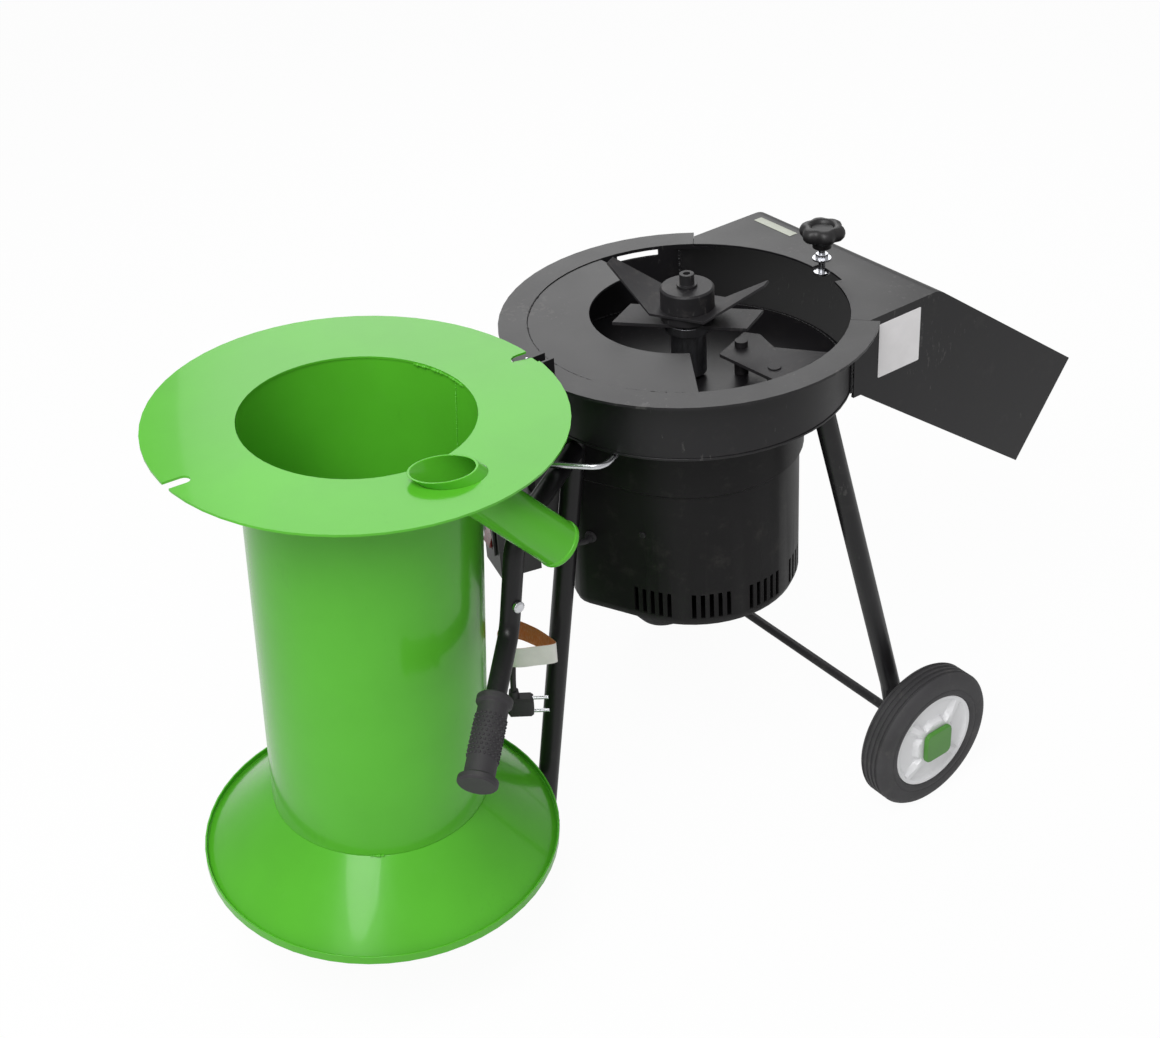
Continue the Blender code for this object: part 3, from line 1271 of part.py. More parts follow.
def plug(front, turn):
    """An angled plug: the cord goes in at the top, two round pins stand out at the front."""
    side = PLUG_WIDTH / 2
    half = PLUG_HEIGHT / 2
    edge = 0.003
    rings = []
    for x, inset in ((-PLUG_LENGTH, edge), (-PLUG_LENGTH + edge, 0.0), (-edge, 0.0), (0.0, edge / 2)):
        y = side - inset
        z = half - inset
        cut = edge
        ring = [(x, -y, -z + cut), (x, -y + cut, -z), (x, y - cut, -z), (x, y, -z + cut), (x, y, z - cut),
                (x, y - cut, z), (x, -y + cut, z), (x, -y, z - cut)]
        rings.append([front + turn @ Vector(point) for point in ring])
    body = skin("plug", rings, machine, BLACK_RUBBER)
    centre = front + turn @ Vector((-PLUG_ENTRY, 0.0, 0.0))
    low = half - edge
    high = half + PLUG_ENTRY_HEIGHT
    rings = [circle(PLUG_ENTRY_RADIUS + 0.0015, COARSE, centre.z + low, centre[:2]),
             circle(PLUG_ENTRY_RADIUS, COARSE, centre.z + high, centre[:2])]
    boolean(body, skin("plug_neck", rings, machine, None), "UNION")
    for number, offset in enumerate((PIN_SPACING / 2, -PIN_SPACING / 2), 1):
        seat = front + turn @ Vector((-PLUG_PIN_SEAT, 0.0, offset))
        tip = front + turn @ Vector((PLUG_PIN_LENGTH, 0.0, offset))
        drill(body, seat - turn @ Vector((GAP, 0.0, 0.0)), tip, PLUG_PIN_RADIUS + GAP, machine, 12)
        rod(f"plug_pin_{number}", seat, tip, PLUG_PIN_RADIUS, machine, BRIGHT_ZINC, 12)
    return body


def cord_tag():
    """A strip of paper looped round the cord, wider towards its folded end."""
    turn = Matrix.Rotation(math.radians(TAG_TURN), 3, "Z")
    along = turn @ Vector((1.0, 0.0, 0.0))
    down = (Vector(CORD_ROUTE[2]) - Vector(CORD_ROUTE[1])).normalized()
    along = (along - down * along.dot(down)).normalized()
    across = down.cross(along)

    def loop(inset):
        """The strip's section: close round the cord at one end, a wide fold at the other."""
        points = []
        narrow = TAG_THROAT - inset
        wide = TAG_HALF_WIDTH - inset
        for step in range(9):
            angle = math.radians(90.0 + 180.0 * step / 8)
            points.append((narrow * math.cos(angle), narrow * math.sin(angle)))
        centre = TAG_LENGTH - TAG_THROAT - TAG_HALF_WIDTH
        for step in range(9):
            angle = math.radians(-90.0 + 180.0 * step / 8)
            points.append((centre + wide * math.cos(angle), wide * math.sin(angle)))
        return points

    middle = Vector(TAG_CENTRE)
    rings = []
    for inset, level in ((0.0, -0.5), (0.0, 0.5), (TAG_SHEET, 0.5), (TAG_SHEET, -0.5)):
        height = down * (TAG_HEIGHT * level)
        rings.append([middle + height + along * x + across * y for x, y in loop(inset)])
    return skin("cord_tag", rings, machine, ORANGE_PAPER, closed=True)


def motor_cable(cover):
    """The cable from the box to the motor, through a grommet in the cover's flat side."""
    turn, _ = box_frame()
    out = turn @ Vector((1.0, 0.0, 0.0))
    start = box_point(BOX_DEPTH, *CABLE_GLAND_PLACE) + out * (SHORT_GLAND_LENGTH + GAP)
    outward = polar(1.0, COVER_TURN + 90.0)
    along = polar(1.0, COVER_TURN)
    wall = outward * COVER_RADIUS + along * GROMMET_PLACE
    wall.z = start.z
    inner = wall - outward * (COVER_WALL + CABLE_TAIL)
    before = wall + outward * CABLE_LEAD
    middle = (start + out * CABLE_LEAD + before) / 2
    route = smooth_route([start, middle, before], 12, out * CABLE_LEAD, -outward * CABLE_LEAD)
    cord("motor_cable", route + [inner], BLACK_RUBBER)
    turn = outward.to_track_quat("Z", "Y").to_matrix().to_3x3()
    bore = CORD_RADIUS + GAP
    neck = CORD_RADIUS + GROMMET_SHEET
    profile = [
        (bore, 0.003), (GROMMET_RADIUS - 0.001, 0.003), (GROMMET_RADIUS, GAP), (neck, GAP),
        (neck, -COVER_WALL - GAP), (GROMMET_RADIUS, -COVER_WALL - GAP),
        (GROMMET_RADIUS - 0.001, -COVER_WALL - 0.002), (bore, -COVER_WALL - 0.002),
    ]
    rings = [[wall + turn @ point for point in circle(radius, COARSE, height)] for radius, height in profile]
    skin("cable_grommet", rings, machine, BLACK_RUBBER, closed=True)
    return drill(cover, wall - outward * PASS, wall + outward * PASS, neck + GAP, machine)


hinge = empty("hopper_hinge", machine, (-HINGE_REACH, HINGE_Y, HINGE_HEIGHT), hopper_turn().to_euler())
hopper = empty("hopper_frame", hinge, (HINGE_REACH, -HINGE_Y, -HINGE_HEIGHT))


def branch_direction():
    azimuth = math.radians(BRANCH_AZIMUTH)
    rise = math.radians(BRANCH_RISE)
    return Vector((math.cos(azimuth) * math.cos(rise), math.sin(azimuth) * math.cos(rise), math.sin(rise)))


def branch_cutter(name, radius):
    """The space that the branch tube takes, long enough to pass the plate and the hopper's tube."""
    along = branch_direction()
    start = Vector((*BRANCH_PLACE, HOPPER_LIFT))
    return rod(name, start - along * BRANCH_CUTTER_START, start + along * BRANCH_LENGTH, radius, hopper, None, MEDIUM)


def hopper_pieces():
    """The round plate, the straight tube on it and the flared intake, all drawn closed over the pan."""
    plate = turned(
        "hopper_plate",
        [(BORE_RADIUS, HOPPER_LIFT), (PLATE_RADIUS, HOPPER_LIFT), (PLATE_RADIUS, PLATE_TOP), (BORE_RADIUS, PLATE_TOP)],
        hopper, GREEN_PAINT,
    )
    outer = PLATE_RADIUS + PASS
    low = HOPPER_LIFT - PASS
    high = PLATE_TOP + PASS
    for name, x, y, half, depth in (
        ("hinge_notch", -1, HINGE_Y, HINGE_NOTCH_HALF_WIDTH, HINGE_NOTCH_DEPTH),
        ("far_notch", 1, FAR_NOTCH_Y, FAR_NOTCH_HALF_WIDTH, FAR_NOTCH_DEPTH),
    ):
        tip = x * (PLATE_RADIUS - depth + half)
        plan = [(x * outer, y - x * half), (x * outer, y + x * half)]
        turn = 90.0 if x > 0 else 270.0
        plan += arc(half, turn, turn + 180.0, 8, (tip, y))
        boolean(plate, slab(name, plan, low, high, hopper, None))
    boolean(plate, branch_cutter("plate_hole", BRANCH_RADIUS + GAP))
    tube_outer = TUBE_INNER_RADIUS + TUBE_SHEET
    tube = turned(
        "hopper_tube",
        [(TUBE_INNER_RADIUS, PLATE_TOP + GAP), (tube_outer, PLATE_TOP + GAP), (tube_outer, TUBE_TOP),
         (TUBE_INNER_RADIUS, TUBE_TOP)],
        hopper, GREEN_PAINT,
    )
    boolean(tube, branch_cutter("tube_cutout", BRANCH_RADIUS + GAP))
    slope = (CONE_RADIUS - tube_outer) / (CONE_TOP - TUBE_TOP)
    sheet = CONE_SHEET * math.hypot(1.0, slope)
    low = TUBE_TOP + GAP
    inside = CONE_RADIUS - CONE_SHEET
    edge = low + (inside - tube_outer) / slope - CONE_SHEET
    turned(
        "intake_cone",
        [(tube_outer, low), (inside, edge), (inside, CONE_TOP - CONE_LIP), (CONE_RADIUS, CONE_TOP - CONE_LIP),
         (CONE_RADIUS, CONE_TOP), (tube_outer - sheet, low)],
        hopper, GREEN_PAINT,
    )
    return plate


def branch_tube():
    """The small slanted tube for thin branches, with a rolled outer end and a collar under the plate."""
    along = branch_direction()
    base = Vector((*BRANCH_PLACE, HOPPER_LIFT))
    side = along.orthogonal().normalized()
    up = along.cross(side)
    inner = BRANCH_RADIUS - BRANCH_SHEET

    def level_ring(radius, height):
        """A ring on the tube's surface, cut level."""
        ring = []
        for step in range(MEDIUM):
            angle = math.tau * step / MEDIUM
            point = base + side * (radius * math.cos(angle)) + up * (radius * math.sin(angle))
            ring.append(point + along * ((height - point.z) / along.z))
        return ring

    def square_ring(radius, distance):
        ring = []
        for step in range(MEDIUM):
            angle = math.tau * step / MEDIUM
            ring.append(base + along * distance + side * (radius * math.cos(angle)) + up * (radius * math.sin(angle)))
        return ring

    low = HOPPER_LIFT - BRANCH_COLLAR
    bead = BRANCH_RADIUS + BRANCH_BEAD
    start = BRANCH_LENGTH - BRANCH_BEAD_LENGTH
    rings = [
        level_ring(inner, low), level_ring(BRANCH_RADIUS, low), square_ring(BRANCH_RADIUS, start),
        square_ring(bead, start + BRANCH_BEAD), square_ring(bead, BRANCH_LENGTH - BRANCH_BEAD),
        square_ring(BRANCH_RADIUS, BRANCH_LENGTH), square_ring(inner, BRANCH_LENGTH),
    ]
    return skin("branch_tube", rings, hopper, GREEN_PAINT, closed=True)


def hinge_pieces():
    """The pin and its bracket on the pan's rim, and the strap on the hopper's plate."""
    lean = math.radians(HINGE_LEAN)
    axis = Vector((0.0, math.cos(lean), math.sin(lean)))
    centre = Vector((-HINGE_REACH, HINGE_Y, HINGE_HEIGHT))
    inner = STRAP_HALF_WIDTH + 2 * GAP
    outer = inner + BRACKET_LUG
    high = BRACKET_LUG_TOP
    low = GAP
    floor = GAP + BRACKET_BASE
    section = [(-outer, low), (outer, low), (outer, high), (inner, high), (inner, floor), (-inner, floor),
               (-inner, high), (-outer, high)]
    start = -HINGE_REACH - BRACKET_LUG_TOP + HINGE_HEIGHT
    rings = [[Vector((x, HINGE_Y + y, z)) for y, z in section] for x in (start, start + BRACKET_LENGTH)]
    bracket = skin("hinge_bracket", rings, machine, BLACK_PAINT)
    reach = axis * (outer + PASS)
    drill(bracket, centre - reach, centre + reach, PIN_RADIUS + GAP, machine)
    turn = axis.to_track_quat("Z", "Y").to_matrix().to_3x3()
    half = outer + 0.0008
    profile = [(PIN_RADIUS - 0.0005, -half - 0.002), (PIN_RADIUS, -half - 0.0015), (PIN_RADIUS, half),
               (PIN_HEAD_RADIUS, half), (PIN_HEAD_RADIUS, half + PIN_HEAD)]
    rings = [[centre + turn @ point for point in circle(radius, COARSE, height)] for radius, height in profile]
    skin("hinge_pin", rings, machine, BRIGHT_ZINC)
    eye = PIN_RADIUS + GAP + EYE_WALL
    outline = []
    for step in range(15):
        angle = math.radians(60.0 + 225.0 * step / 14)
        outline.append((-HINGE_REACH + eye * math.cos(angle), HINGE_HEIGHT + eye * math.sin(angle)))
    bottom = PLATE_TOP + GAP
    top = bottom + STRAP_SHEET
    bend = -HINGE_REACH + 0.020
    outline += [(bend, bottom), (STRAP_END_X, bottom), (STRAP_END_X, top), (bend + 0.0015, top)]
    width = STRAP_HALF_WIDTH
    strap = extruded("hinge_strap", outline, HINGE_Y - width, HINGE_Y + width, hopper, GREEN_PAINT)
    reach = axis * (width + PASS)
    drill(strap, centre - reach, centre + reach, PIN_RADIUS + GAP, hopper)
    return bracket


def clamp():
    """The stud in the notch of the mouth, made in one with its flanged hexagon, and the star knob on top."""
    place = tuple(polar(CLAMP_RADIUS, CLAMP_ANGLE)[:2])
    slide = empty("clamp_axis", machine)
    foot_top = -CHUTE_SHEET - GAP
    low = CLAMP_NUT_BOTTOM
    washer_top = low + CLAMP_WASHER
    stud = turned(
        "clamp_stud",
        [(STUD_FOOT_RADIUS, foot_top - STUD_FOOT), (STUD_FOOT_RADIUS, foot_top), (STUD_RADIUS, foot_top),
         (STUD_RADIUS, low), (CLAMP_WASHER_RADIUS, low), (CLAMP_WASHER_RADIUS, washer_top),
         (STUD_RADIUS, washer_top), (STUD_RADIUS, STUD_TOP)],
        slide, BRIGHT_ZINC, COARSE, False, place,
    )
    plan = hexagon(CLAMP_NUT_RADIUS, place, CLAMP_NUT_TURN)
    bottom = washer_top - CLAMP_WASHER / 2
    boolean(stud, slab("stud_hexagon", plan, bottom, washer_top + CLAMP_NUT_HEIGHT, slide, None), "UNION")
    axis = empty("knob_axis", slide, (*place, 0.0))
    star_knob(axis, STUD_RADIUS + GAP)


def star_knob(axis, bore):
    """A six-lobed knob on a neck, with a blind hole for the stud."""
    steps = KNOB_LOBES * KNOB_LOBE_STEPS

    def lobed(radius, depth, height):
        ring = []
        for step in range(steps):
            angle = math.tau * step / steps
            reach = radius - depth * (1.0 - math.cos(KNOB_LOBES * angle)) / 2
            ring.append(Vector((reach * math.cos(angle), reach * math.sin(angle), height)))
        return ring

    blind = STUD_TOP + GAP
    low = KNOB_NECK_BOTTOM
    deep = KNOB_LOBE_DEPTH
    edge = KNOB_EDGE
    rings = [
        lobed(bore, 0.0, blind), lobed(bore, 0.0, low), lobed(KNOB_NECK_RADIUS, 0.0, low),
        lobed(KNOB_NECK_RADIUS, 0.0, KNOB_BOTTOM), lobed(KNOB_RADIUS - edge, deep, KNOB_BOTTOM),
        lobed(KNOB_RADIUS, deep, KNOB_BOTTOM + edge), lobed(KNOB_RADIUS, deep, KNOB_TOP - edge),
        lobed(KNOB_RADIUS - edge, deep, KNOB_TOP), lobed(KNOB_RECESS_RADIUS, 0.0, KNOB_TOP),
        lobed(KNOB_RECESS_RADIUS, 0.0, KNOB_TOP - KNOB_RECESS_DEPTH),
    ]
    return skin("star_knob", rings, axis, BLACK_PLASTIC)


pan()
guard_plate()
discharge_chute()
counter_plate()
knife()
fan_blade()
rotor_stack()
motor()
cover = motor_cover()
legs()
wheels()
handles()
hopper_rest()
switch_box()
supply_cord()
motor_cable(cover)
hopper_pieces()
branch_tube()
hinge_pieces()
clamp()
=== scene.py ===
"""Dresses the garden shredder: finishes, raised details, cords, and the studio it stands in.

Laid out as an add-on and run as a script. Sizes and colours that a user would change are in the
property groups.
"""

import json
import math

import bmesh
import bpy
from bpy.props import FloatProperty, FloatVectorProperty, IntProperty, PointerProperty
from bpy.types import Operator, Panel, PropertyGroup
from mathutils import Matrix, Vector

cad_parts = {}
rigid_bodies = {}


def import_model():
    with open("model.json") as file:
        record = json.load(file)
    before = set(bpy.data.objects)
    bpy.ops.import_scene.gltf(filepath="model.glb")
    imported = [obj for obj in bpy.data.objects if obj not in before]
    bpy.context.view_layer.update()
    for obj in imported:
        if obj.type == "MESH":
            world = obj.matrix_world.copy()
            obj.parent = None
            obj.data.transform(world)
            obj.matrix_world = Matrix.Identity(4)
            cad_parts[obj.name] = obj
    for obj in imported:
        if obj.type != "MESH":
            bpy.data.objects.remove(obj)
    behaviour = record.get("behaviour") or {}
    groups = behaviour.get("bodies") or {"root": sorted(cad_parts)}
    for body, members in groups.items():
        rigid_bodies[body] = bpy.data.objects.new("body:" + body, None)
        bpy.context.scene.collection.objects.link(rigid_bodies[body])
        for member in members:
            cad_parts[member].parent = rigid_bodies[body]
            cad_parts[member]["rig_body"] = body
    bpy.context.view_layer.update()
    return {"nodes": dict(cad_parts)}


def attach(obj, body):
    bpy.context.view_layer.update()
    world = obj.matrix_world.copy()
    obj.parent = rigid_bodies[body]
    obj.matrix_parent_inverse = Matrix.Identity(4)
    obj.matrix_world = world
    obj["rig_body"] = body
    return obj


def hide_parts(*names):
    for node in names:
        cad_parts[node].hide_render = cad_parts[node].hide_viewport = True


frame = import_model()

bl_info = {
    "name": "Garden Shredder Dressing",
    "version": (1, 0, 0),
    "blender": (4, 5, 0),
    "location": "3D View > Sidebar > Shredder",
    "description": "Finishes and small details of a garden shredder",
    "category": "Object",
}

# Lengths are in metres. Places marked "from the rim's middle" are measured from RIM_CENTRE.
RIM_CENTRE = Vector((0.2535, 0.0, 0.651))     # middle of the pan's rim
AHEAD = Vector((1.0, 0.0, 0.0))
UPWARD = Vector((0.0, 0.0, 1.0))
SHARP_ANGLE = 35.0      # degrees between faces from which an edge stays hard
FLAT_ANGLE = 0.4        # degrees between faces up to which they are joined
CAD_MERGE = 0.00002     # points of a CAD node that are closer than this become one
SKIN_MERGE = 0.00001
WHITE = (1.0, 1.0, 1.0, 1.0)

# The camera's axes, fitted to the photograph
CAMERA_RIGHT = Vector((0.8022, -0.5943, -0.0589))
CAMERA_FORWARD = Vector((0.4705, 0.6896, -0.5505))
SENSOR_WIDTH = 36.0
CLIP_END = 60.0

# Lamps: diameter, place and the direction that they shine from
KEY_LAMP = (1.5, (-1.10, -0.80, 2.25), (-1.15, -0.75, 1.75))
SHEEN_LAMP = (1.8, (1.4, 1.7, 2.0), (1.3, 1.7, 1.4))
FLOOR_REACH = 14.0
FLOOR_GREY = (0.9, 0.9, 0.9, 1.0)

# Hinge of the hopper, which stands open, measured from the rim's middle
HINGE = Vector((-0.2097, -0.0020, 0.0120))
HINGE_LEAN = math.radians(1.35)
HOPPER_OPENING = math.radians(176.85)

# Welds and seams, from the rim's middle, with arcs as (start, end) in degrees
GUARD_WELD_RADIUS = 0.1776
GUARD_WELD_HEIGHT = -0.0012
GUARD_WELD_ARCS = ((148.0, 166.0), (172.0, 196.0), (203.0, 231.0), (118.0, 139.0))
FLOOR_WELD_RADIUS = 0.1775
FLOOR_WELD_HEIGHT = -0.0766
CHUTE_SEAM_RADIUS = 0.1825
CHUTE_SEAM_TURNS = (53.9, -53.9)
CHUTE_SEAM_TOP = -0.006
CHUTE_SEAM_LENGTH = 0.074
CHUTE_SEAM_STEPS = 20
TUBE_BORE_RADIUS = 0.1190
TUBE_SEAM_TURN = math.radians(177)
TUBE_SEAM_START = 0.004
TUBE_SEAM_LENGTH = 0.47
TUBE_SEAM_STEPS = 80
MOUTH_WELD_HEIGHT = 0.0036
CONE_TACK_RADIUS = 0.1222
CONE_TACK_HEIGHT = 0.4765

# Cord from the switch box to the plug, and cable from the box to the motor, from the rim's middle
CORD_START = (-0.24147, 0.03132, -0.27630)
CORD_POINTS = (
    (-0.2415, 0.0285, -0.290), (-0.2462, 0.0240, -0.308), (-0.2560, 0.0143, -0.330),
    (-0.2655, 0.0050, -0.351), (-0.2713, -0.0006, -0.369),
)
CORD_ENTRY = (-0.27270, -0.00110, -0.38820)
CORD_DROP = Vector((0.0, 0.0, -0.016))
CABLE_START = Vector((-0.19465, 0.0237, -0.240))
CABLE_OUT = Vector((0.9703, -0.2419, 0.0))
CABLE_WALL = Vector((-0.14196, 0.01104, -0.240))
CABLE_WALL_OUT = Vector((-0.9063, -0.4226, 0.0))
CABLE_LEAD = 0.010      # straight run at each end
CABLE_TAIL = 0.0085     # hidden end inside the motor's cover
CORD_STEPS = 24
CABLE_STEPS = 12

# Middle of the card tag's strip, once round the cord
TAG_LOOP = (
    (-0.2490, 0.0290, -0.330), (-0.2345, 0.0040, -0.333), (-0.2290, -0.0240, -0.3365),
    (-0.2310, -0.0320, -0.3375), (-0.2480, -0.0215, -0.339), (-0.2720, -0.0030, -0.340),
    (-0.2720, 0.0230, -0.335),
)
TAG_STEPS = 6           # between two points of the loop
TAG_AHEAD = 0.05        # share of that span over which the strip's direction is read
HALF_CARD = 0.00025

# Clamp knob: its place and its section as (radius, height), from the rim's middle
KNOB_PLACE = Vector((0.18186, -0.01944, 0.0))
KNOB_PROFILE = (
    (0.0043, 0.0496), (0.0043, 0.0270), (0.0108, 0.0270), (0.0110, 0.0276), (0.0110, 0.0352),
    (0.0125, 0.0362), (0.0185, 0.0368), (0.0232, 0.0386), (0.0258, 0.0418), (0.0265, 0.0452),
    (0.0261, 0.0486), (0.0243, 0.0518), (0.0214, 0.0537), (0.0180, 0.0545), (0.0152, 0.0541),
    (0.0136, 0.0529), (0.0128, 0.0512), (0.0122, 0.0503), (0.0060, 0.0500), (0.0020, 0.0500),
)
KNOB_LOBES = 6
KNOB_STEPS = 16         # per lobe
LOBE_DEPTH = 0.0042
LOBE_START = 0.0125     # radius from which the hollows between the lobes deepen
LOBE_RANGE = 0.014
LOBE_SHARPNESS = 1.6

# Wheels
WHEEL_CENTRE = Vector((0.176, 0.0215, -0.559))     # between the wheels, from the rim's middle
HALF_TRACK = 0.2425
HALF_WHEEL = 0.020
WHEEL_RADIUS = 0.092
WHEEL_SEGMENTS = 96
TYRE_INNER_RADIUS = 0.0625
SHOULDER = 0.0062       # from the tyre's flank to its tread
GROOVE_DEPTH = 0.0018
HALF_GROOVE_TOP = 0.0022
HALF_GROOVE_FLOOR = 0.0014
DISC_RADIUS = TYRE_INNER_RADIUS - 0.0003
DISC_BORE_RADIUS = 0.0063
DISC_INNER_RADIUS = 0.010
DISC_RINGS = 26
DISC_SUNK = 0.0062      # floor of the disc's pockets behind the tyre's flank
DISC_RELIEF = 0.0072    # height of its raised square over that floor
RIM_SHARE = 0.55        # share of that height at the disc's rim
SQUARE_EDGE = (0.0290, 0.0330)      # start and end of the slope down from the raised square
SQUARE_CORNER = 0.76                # how far its corners are cut
SPOKE_EDGE = (0.0040, 0.0075)       # of the slope beside a spoke's middle line
SPOKE_FALL = (0.034, 0.058)         # of the spokes' way down to the rim
RIM_EDGE = (0.0550, 0.0590)         # of the slope up from the pockets to the rim
CAP_ROUNDING = 0.0012

# The left grip, which the right one mirrors, from the rim's middle
GRIP_ELBOW = (-0.336, 0.110, -0.209)
GRIP_DIRECTION = (-0.687, 0.623, -0.381)
GRIP_REACH = 0.1733
GRIP_RADIUS = 0.0160
POINTS_START = 0.024    # from the grip's end
POINTS_TURNS = 10
POINTS_STEPS = 40       # per turn

PLUG_ROUNDING = 0.0015

# Screw of the motor's cover: its place from the rim's middle and its head as (radius, height)
SCREW_PLACE = (-0.11365, -0.04968, -0.2196)
SCREW_HEAD = ((0.0040, -0.0010), (0.0040, 0.0008), (0.0033, 0.0018), (0.0018, 0.0019), (0.0014, 0.0010))
SCREW_SEGMENTS = 24

# Chute and its labels, from the rim's middle
CHUTE_SIDE = 0.1495
CHUTE_FOLD = 0.230
CHUTE_FOLD_RADIUS = 0.025
CHUTE_SLOPE = math.radians(36.0)
FOLD_STEPS = 8
LABEL_LIFT = 0.0001     # between a label and the paint
LABEL_CORNER = 0.0015
SIDE_LABEL_CORNERS = (
    (0.2075, -0.0115, 0), (0.1475, -0.0115, 90), (0.1475, -0.0745, 180), (0.2075, -0.0745, 270))
FOLD_LABEL_ALONG = (0.214, 0.243)
FOLD_LABEL_ACROSS = (0.070, 0.134)


def srgb(red, green, blue):
    """A colour of 0 to 255 display values as scene-linear numbers."""
    linear = []
    for value in (red, green, blue):
        share = value / 255
        linear.append(share / 12.92 if share <= 0.04045 else ((share + 0.055) / 1.055) ** 2.4)
    return tuple(linear)


# ---------------------------------------------------------------- settings

def colour_setting(name, description, red, green, blue):
    """A colour that a user may change, given as display values of 0 to 255."""
    return FloatVectorProperty(
        name=name, description=description, subtype="COLOR", size=3, min=0, max=1,
        default=srgb(red, green, blue))


def length_setting(name, description, low, high, default):
    """A length that a user may change, in metres."""
    return FloatProperty(
        name=name, description=description, unit="LENGTH", min=low, max=high, default=default)


class ShredderColours(PropertyGroup):
    """Colours of the shredder's finishes."""

    black_paint: colour_setting(
        "Black Paint", "Powder coat of the pan, chute, legs and handles", 25, 24, 26)
    green_paint: colour_setting("Green Paint", "Gloss paint of the hopper", 83, 174, 42)
    cover_plastic: colour_setting("Cover Plastic", "Moulded cover round the motor", 22, 21, 22)
    dark_steel: colour_setting("Blackened Steel", "Rotor, counter plate and axle", 40, 39, 41)
    zinc: colour_setting("Zinc", "Bolts, pins and the hopper's rest", 205, 206, 210)
    rubber: colour_setting("Rubber", "Grips, cords, foot and plug", 46, 44, 47)
    tyre: colour_setting("Tyre", "Rubber of both tyres", 60, 59, 61)
    wheel_white: colour_setting("Wheel White", "Plastic of the wheel discs", 228, 228, 230)
    cap_green: colour_setting("Cap Green", "Plastic of the square hub caps", 74, 138, 48)
    tag_orange: colour_setting("Tag Orange", "Inside of the card tag on the cord", 214, 128, 74)


class ShredderSizes(PropertyGroup):
    """Sizes of the details that this script adds."""

    rounding: length_setting(
        "Edge Rounding", "Radius on the edges of sheet metal", 0, 0.003, 0.0008)
    fine_rounding: length_setting(
        "Fine Rounding", "Radius on the edges of small fittings", 0, 0.002, 0.0004)
    bead_radius: length_setting("Weld Bead", "Radius of the weld beads", 0.0005, 0.004, 0.0016)
    bead_spacing: length_setting(
        "Bead Spacing", "Distance between the ripples of a weld", 0.0005, 0.01, 0.0021)
    stud_radius: length_setting(
        "Grip Stud", "Radius of the raised points on the grips", 0.0004, 0.003, 0.0015)
    stud_spacing: length_setting(
        "Stud Spacing", "Distance between the raised points", 0.001, 0.01, 0.0049)
    cord_diameter: length_setting(
        "Cord Diameter", "Diameter of the cord and the motor's cable", 0.004, 0.012, 0.007)
    tread_grooves: IntProperty(
        name="Tread Grooves", description="Grooves round each tyre", min=1, max=8, default=4)
    tag_height: length_setting("Tag Height", "Height of the card tag's strip", 0.01, 0.06, 0.027)
    label_sheet: length_setting(
        "Label Sheet", "Thickness of the blank labels", 0.0001, 0.001, 0.0003)


class ShredderStudio(PropertyGroup):
    """Camera and light."""

    camera_place: FloatVectorProperty(
        name="Camera Place", description="Where the camera stands",
        subtype="TRANSLATION", unit="LENGTH", size=3, default=(-0.8485, -1.3766, 1.5486))
    focal_length: FloatProperty(
        name="Focal Length", description="Lens, on a sensor 36 mm wide",
        min=10, max=200, default=55.24)
    sky: FloatProperty(
        name="Sky", description="Strength of the soft light from all round",
        min=0, max=2, default=0.42)
    key_power: FloatProperty(
        name="Key Light", description="Power of the soft lamp above",
        unit="POWER", min=0, max=500, default=45)
    sheen_power: FloatProperty(
        name="Sheen Light", description="Power of the wide lamp behind, which shines on the upper faces",
        unit="POWER", min=0, max=500, default=17)
    mirrored: FloatProperty(
        name="Mirrored White", description="How white the surroundings show in reflections",
        subtype="FACTOR", min=0, max=1, default=0.3)
    floor_glow: FloatProperty(
        name="White Floor", description="How far the floor shows white rather than lit",
        subtype="FACTOR", min=0, max=1, default=0.96)


# ---------------------------------------------------------------- node trees

class Socket:
    """A node's output. The arithmetic signs add Math nodes."""

    def __init__(self, recipe, link):
        self.recipe = recipe
        self.link = link

    def maths(self, operation, first, second):
        return self.recipe.node("ShaderNodeMath", {"operation": operation}, {0: first, 1: second})

    def __add__(self, other):
        return self.maths("ADD", self, other)

    def __sub__(self, other):
        return self.maths("SUBTRACT", self, other)

    def __rsub__(self, other):
        return self.maths("SUBTRACT", other, self)

    def __mul__(self, other):
        return self.maths("MULTIPLY", self, other)

    __radd__ = __add__
    __rmul__ = __mul__

    def beside(self, name):
        """Another output of the same node."""
        return Socket(self.recipe, self.link.node.outputs[name])


class Recipe:
    """Builds a node tree through one method."""

    def __init__(self, tree):
        self.tree = tree
        tree.nodes.clear()

    def node(self, kind, settings=None, inputs=None, output=0):
        """Adds a node: its settings first, then values or links for its sockets."""
        made = self.tree.nodes.new(kind)
        for name, value in (settings or {}).items():
            setattr(made, name, value)
        for key, value in (inputs or {}).items():
            if isinstance(value, Socket):
                self.tree.links.new(value.link, made.inputs[key])
            else:
                made.inputs[key].default_value = value
        if not made.outputs:
            return None
        return Socket(self, made.outputs[output])

    def mix(self, factor, first, second):
        """The first colour where the factor is 0, and the second where it is 1."""
        first, second = (
            value if isinstance(value, Socket) else (*value, 1.0) for value in (first, second))
        return self.node("ShaderNodeMix", {"data_type": "RGBA"}, {0: factor, 6: first, 7: second}, 2)

    def noise(self, place, scale, detail=3.0, roughness=0.5, stretch=None):
        """Noise of that many lumps to a metre."""
        if stretch:
            place = self.node("ShaderNodeMapping", None, {0: place, "Scale": stretch})
        return self.node(
            "ShaderNodeTexNoise", None,
            {"Vector": place, "Scale": scale, "Detail": detail, "Roughness": roughness})

    def ramp(self, value, low, high):
        """0 below low, 1 above high, with a soft step between them."""
        return self.node(
            "ShaderNodeMapRange", {"interpolation_type": "SMOOTHSTEP"},
            {"Value": value, "From Min": low, "From Max": high})


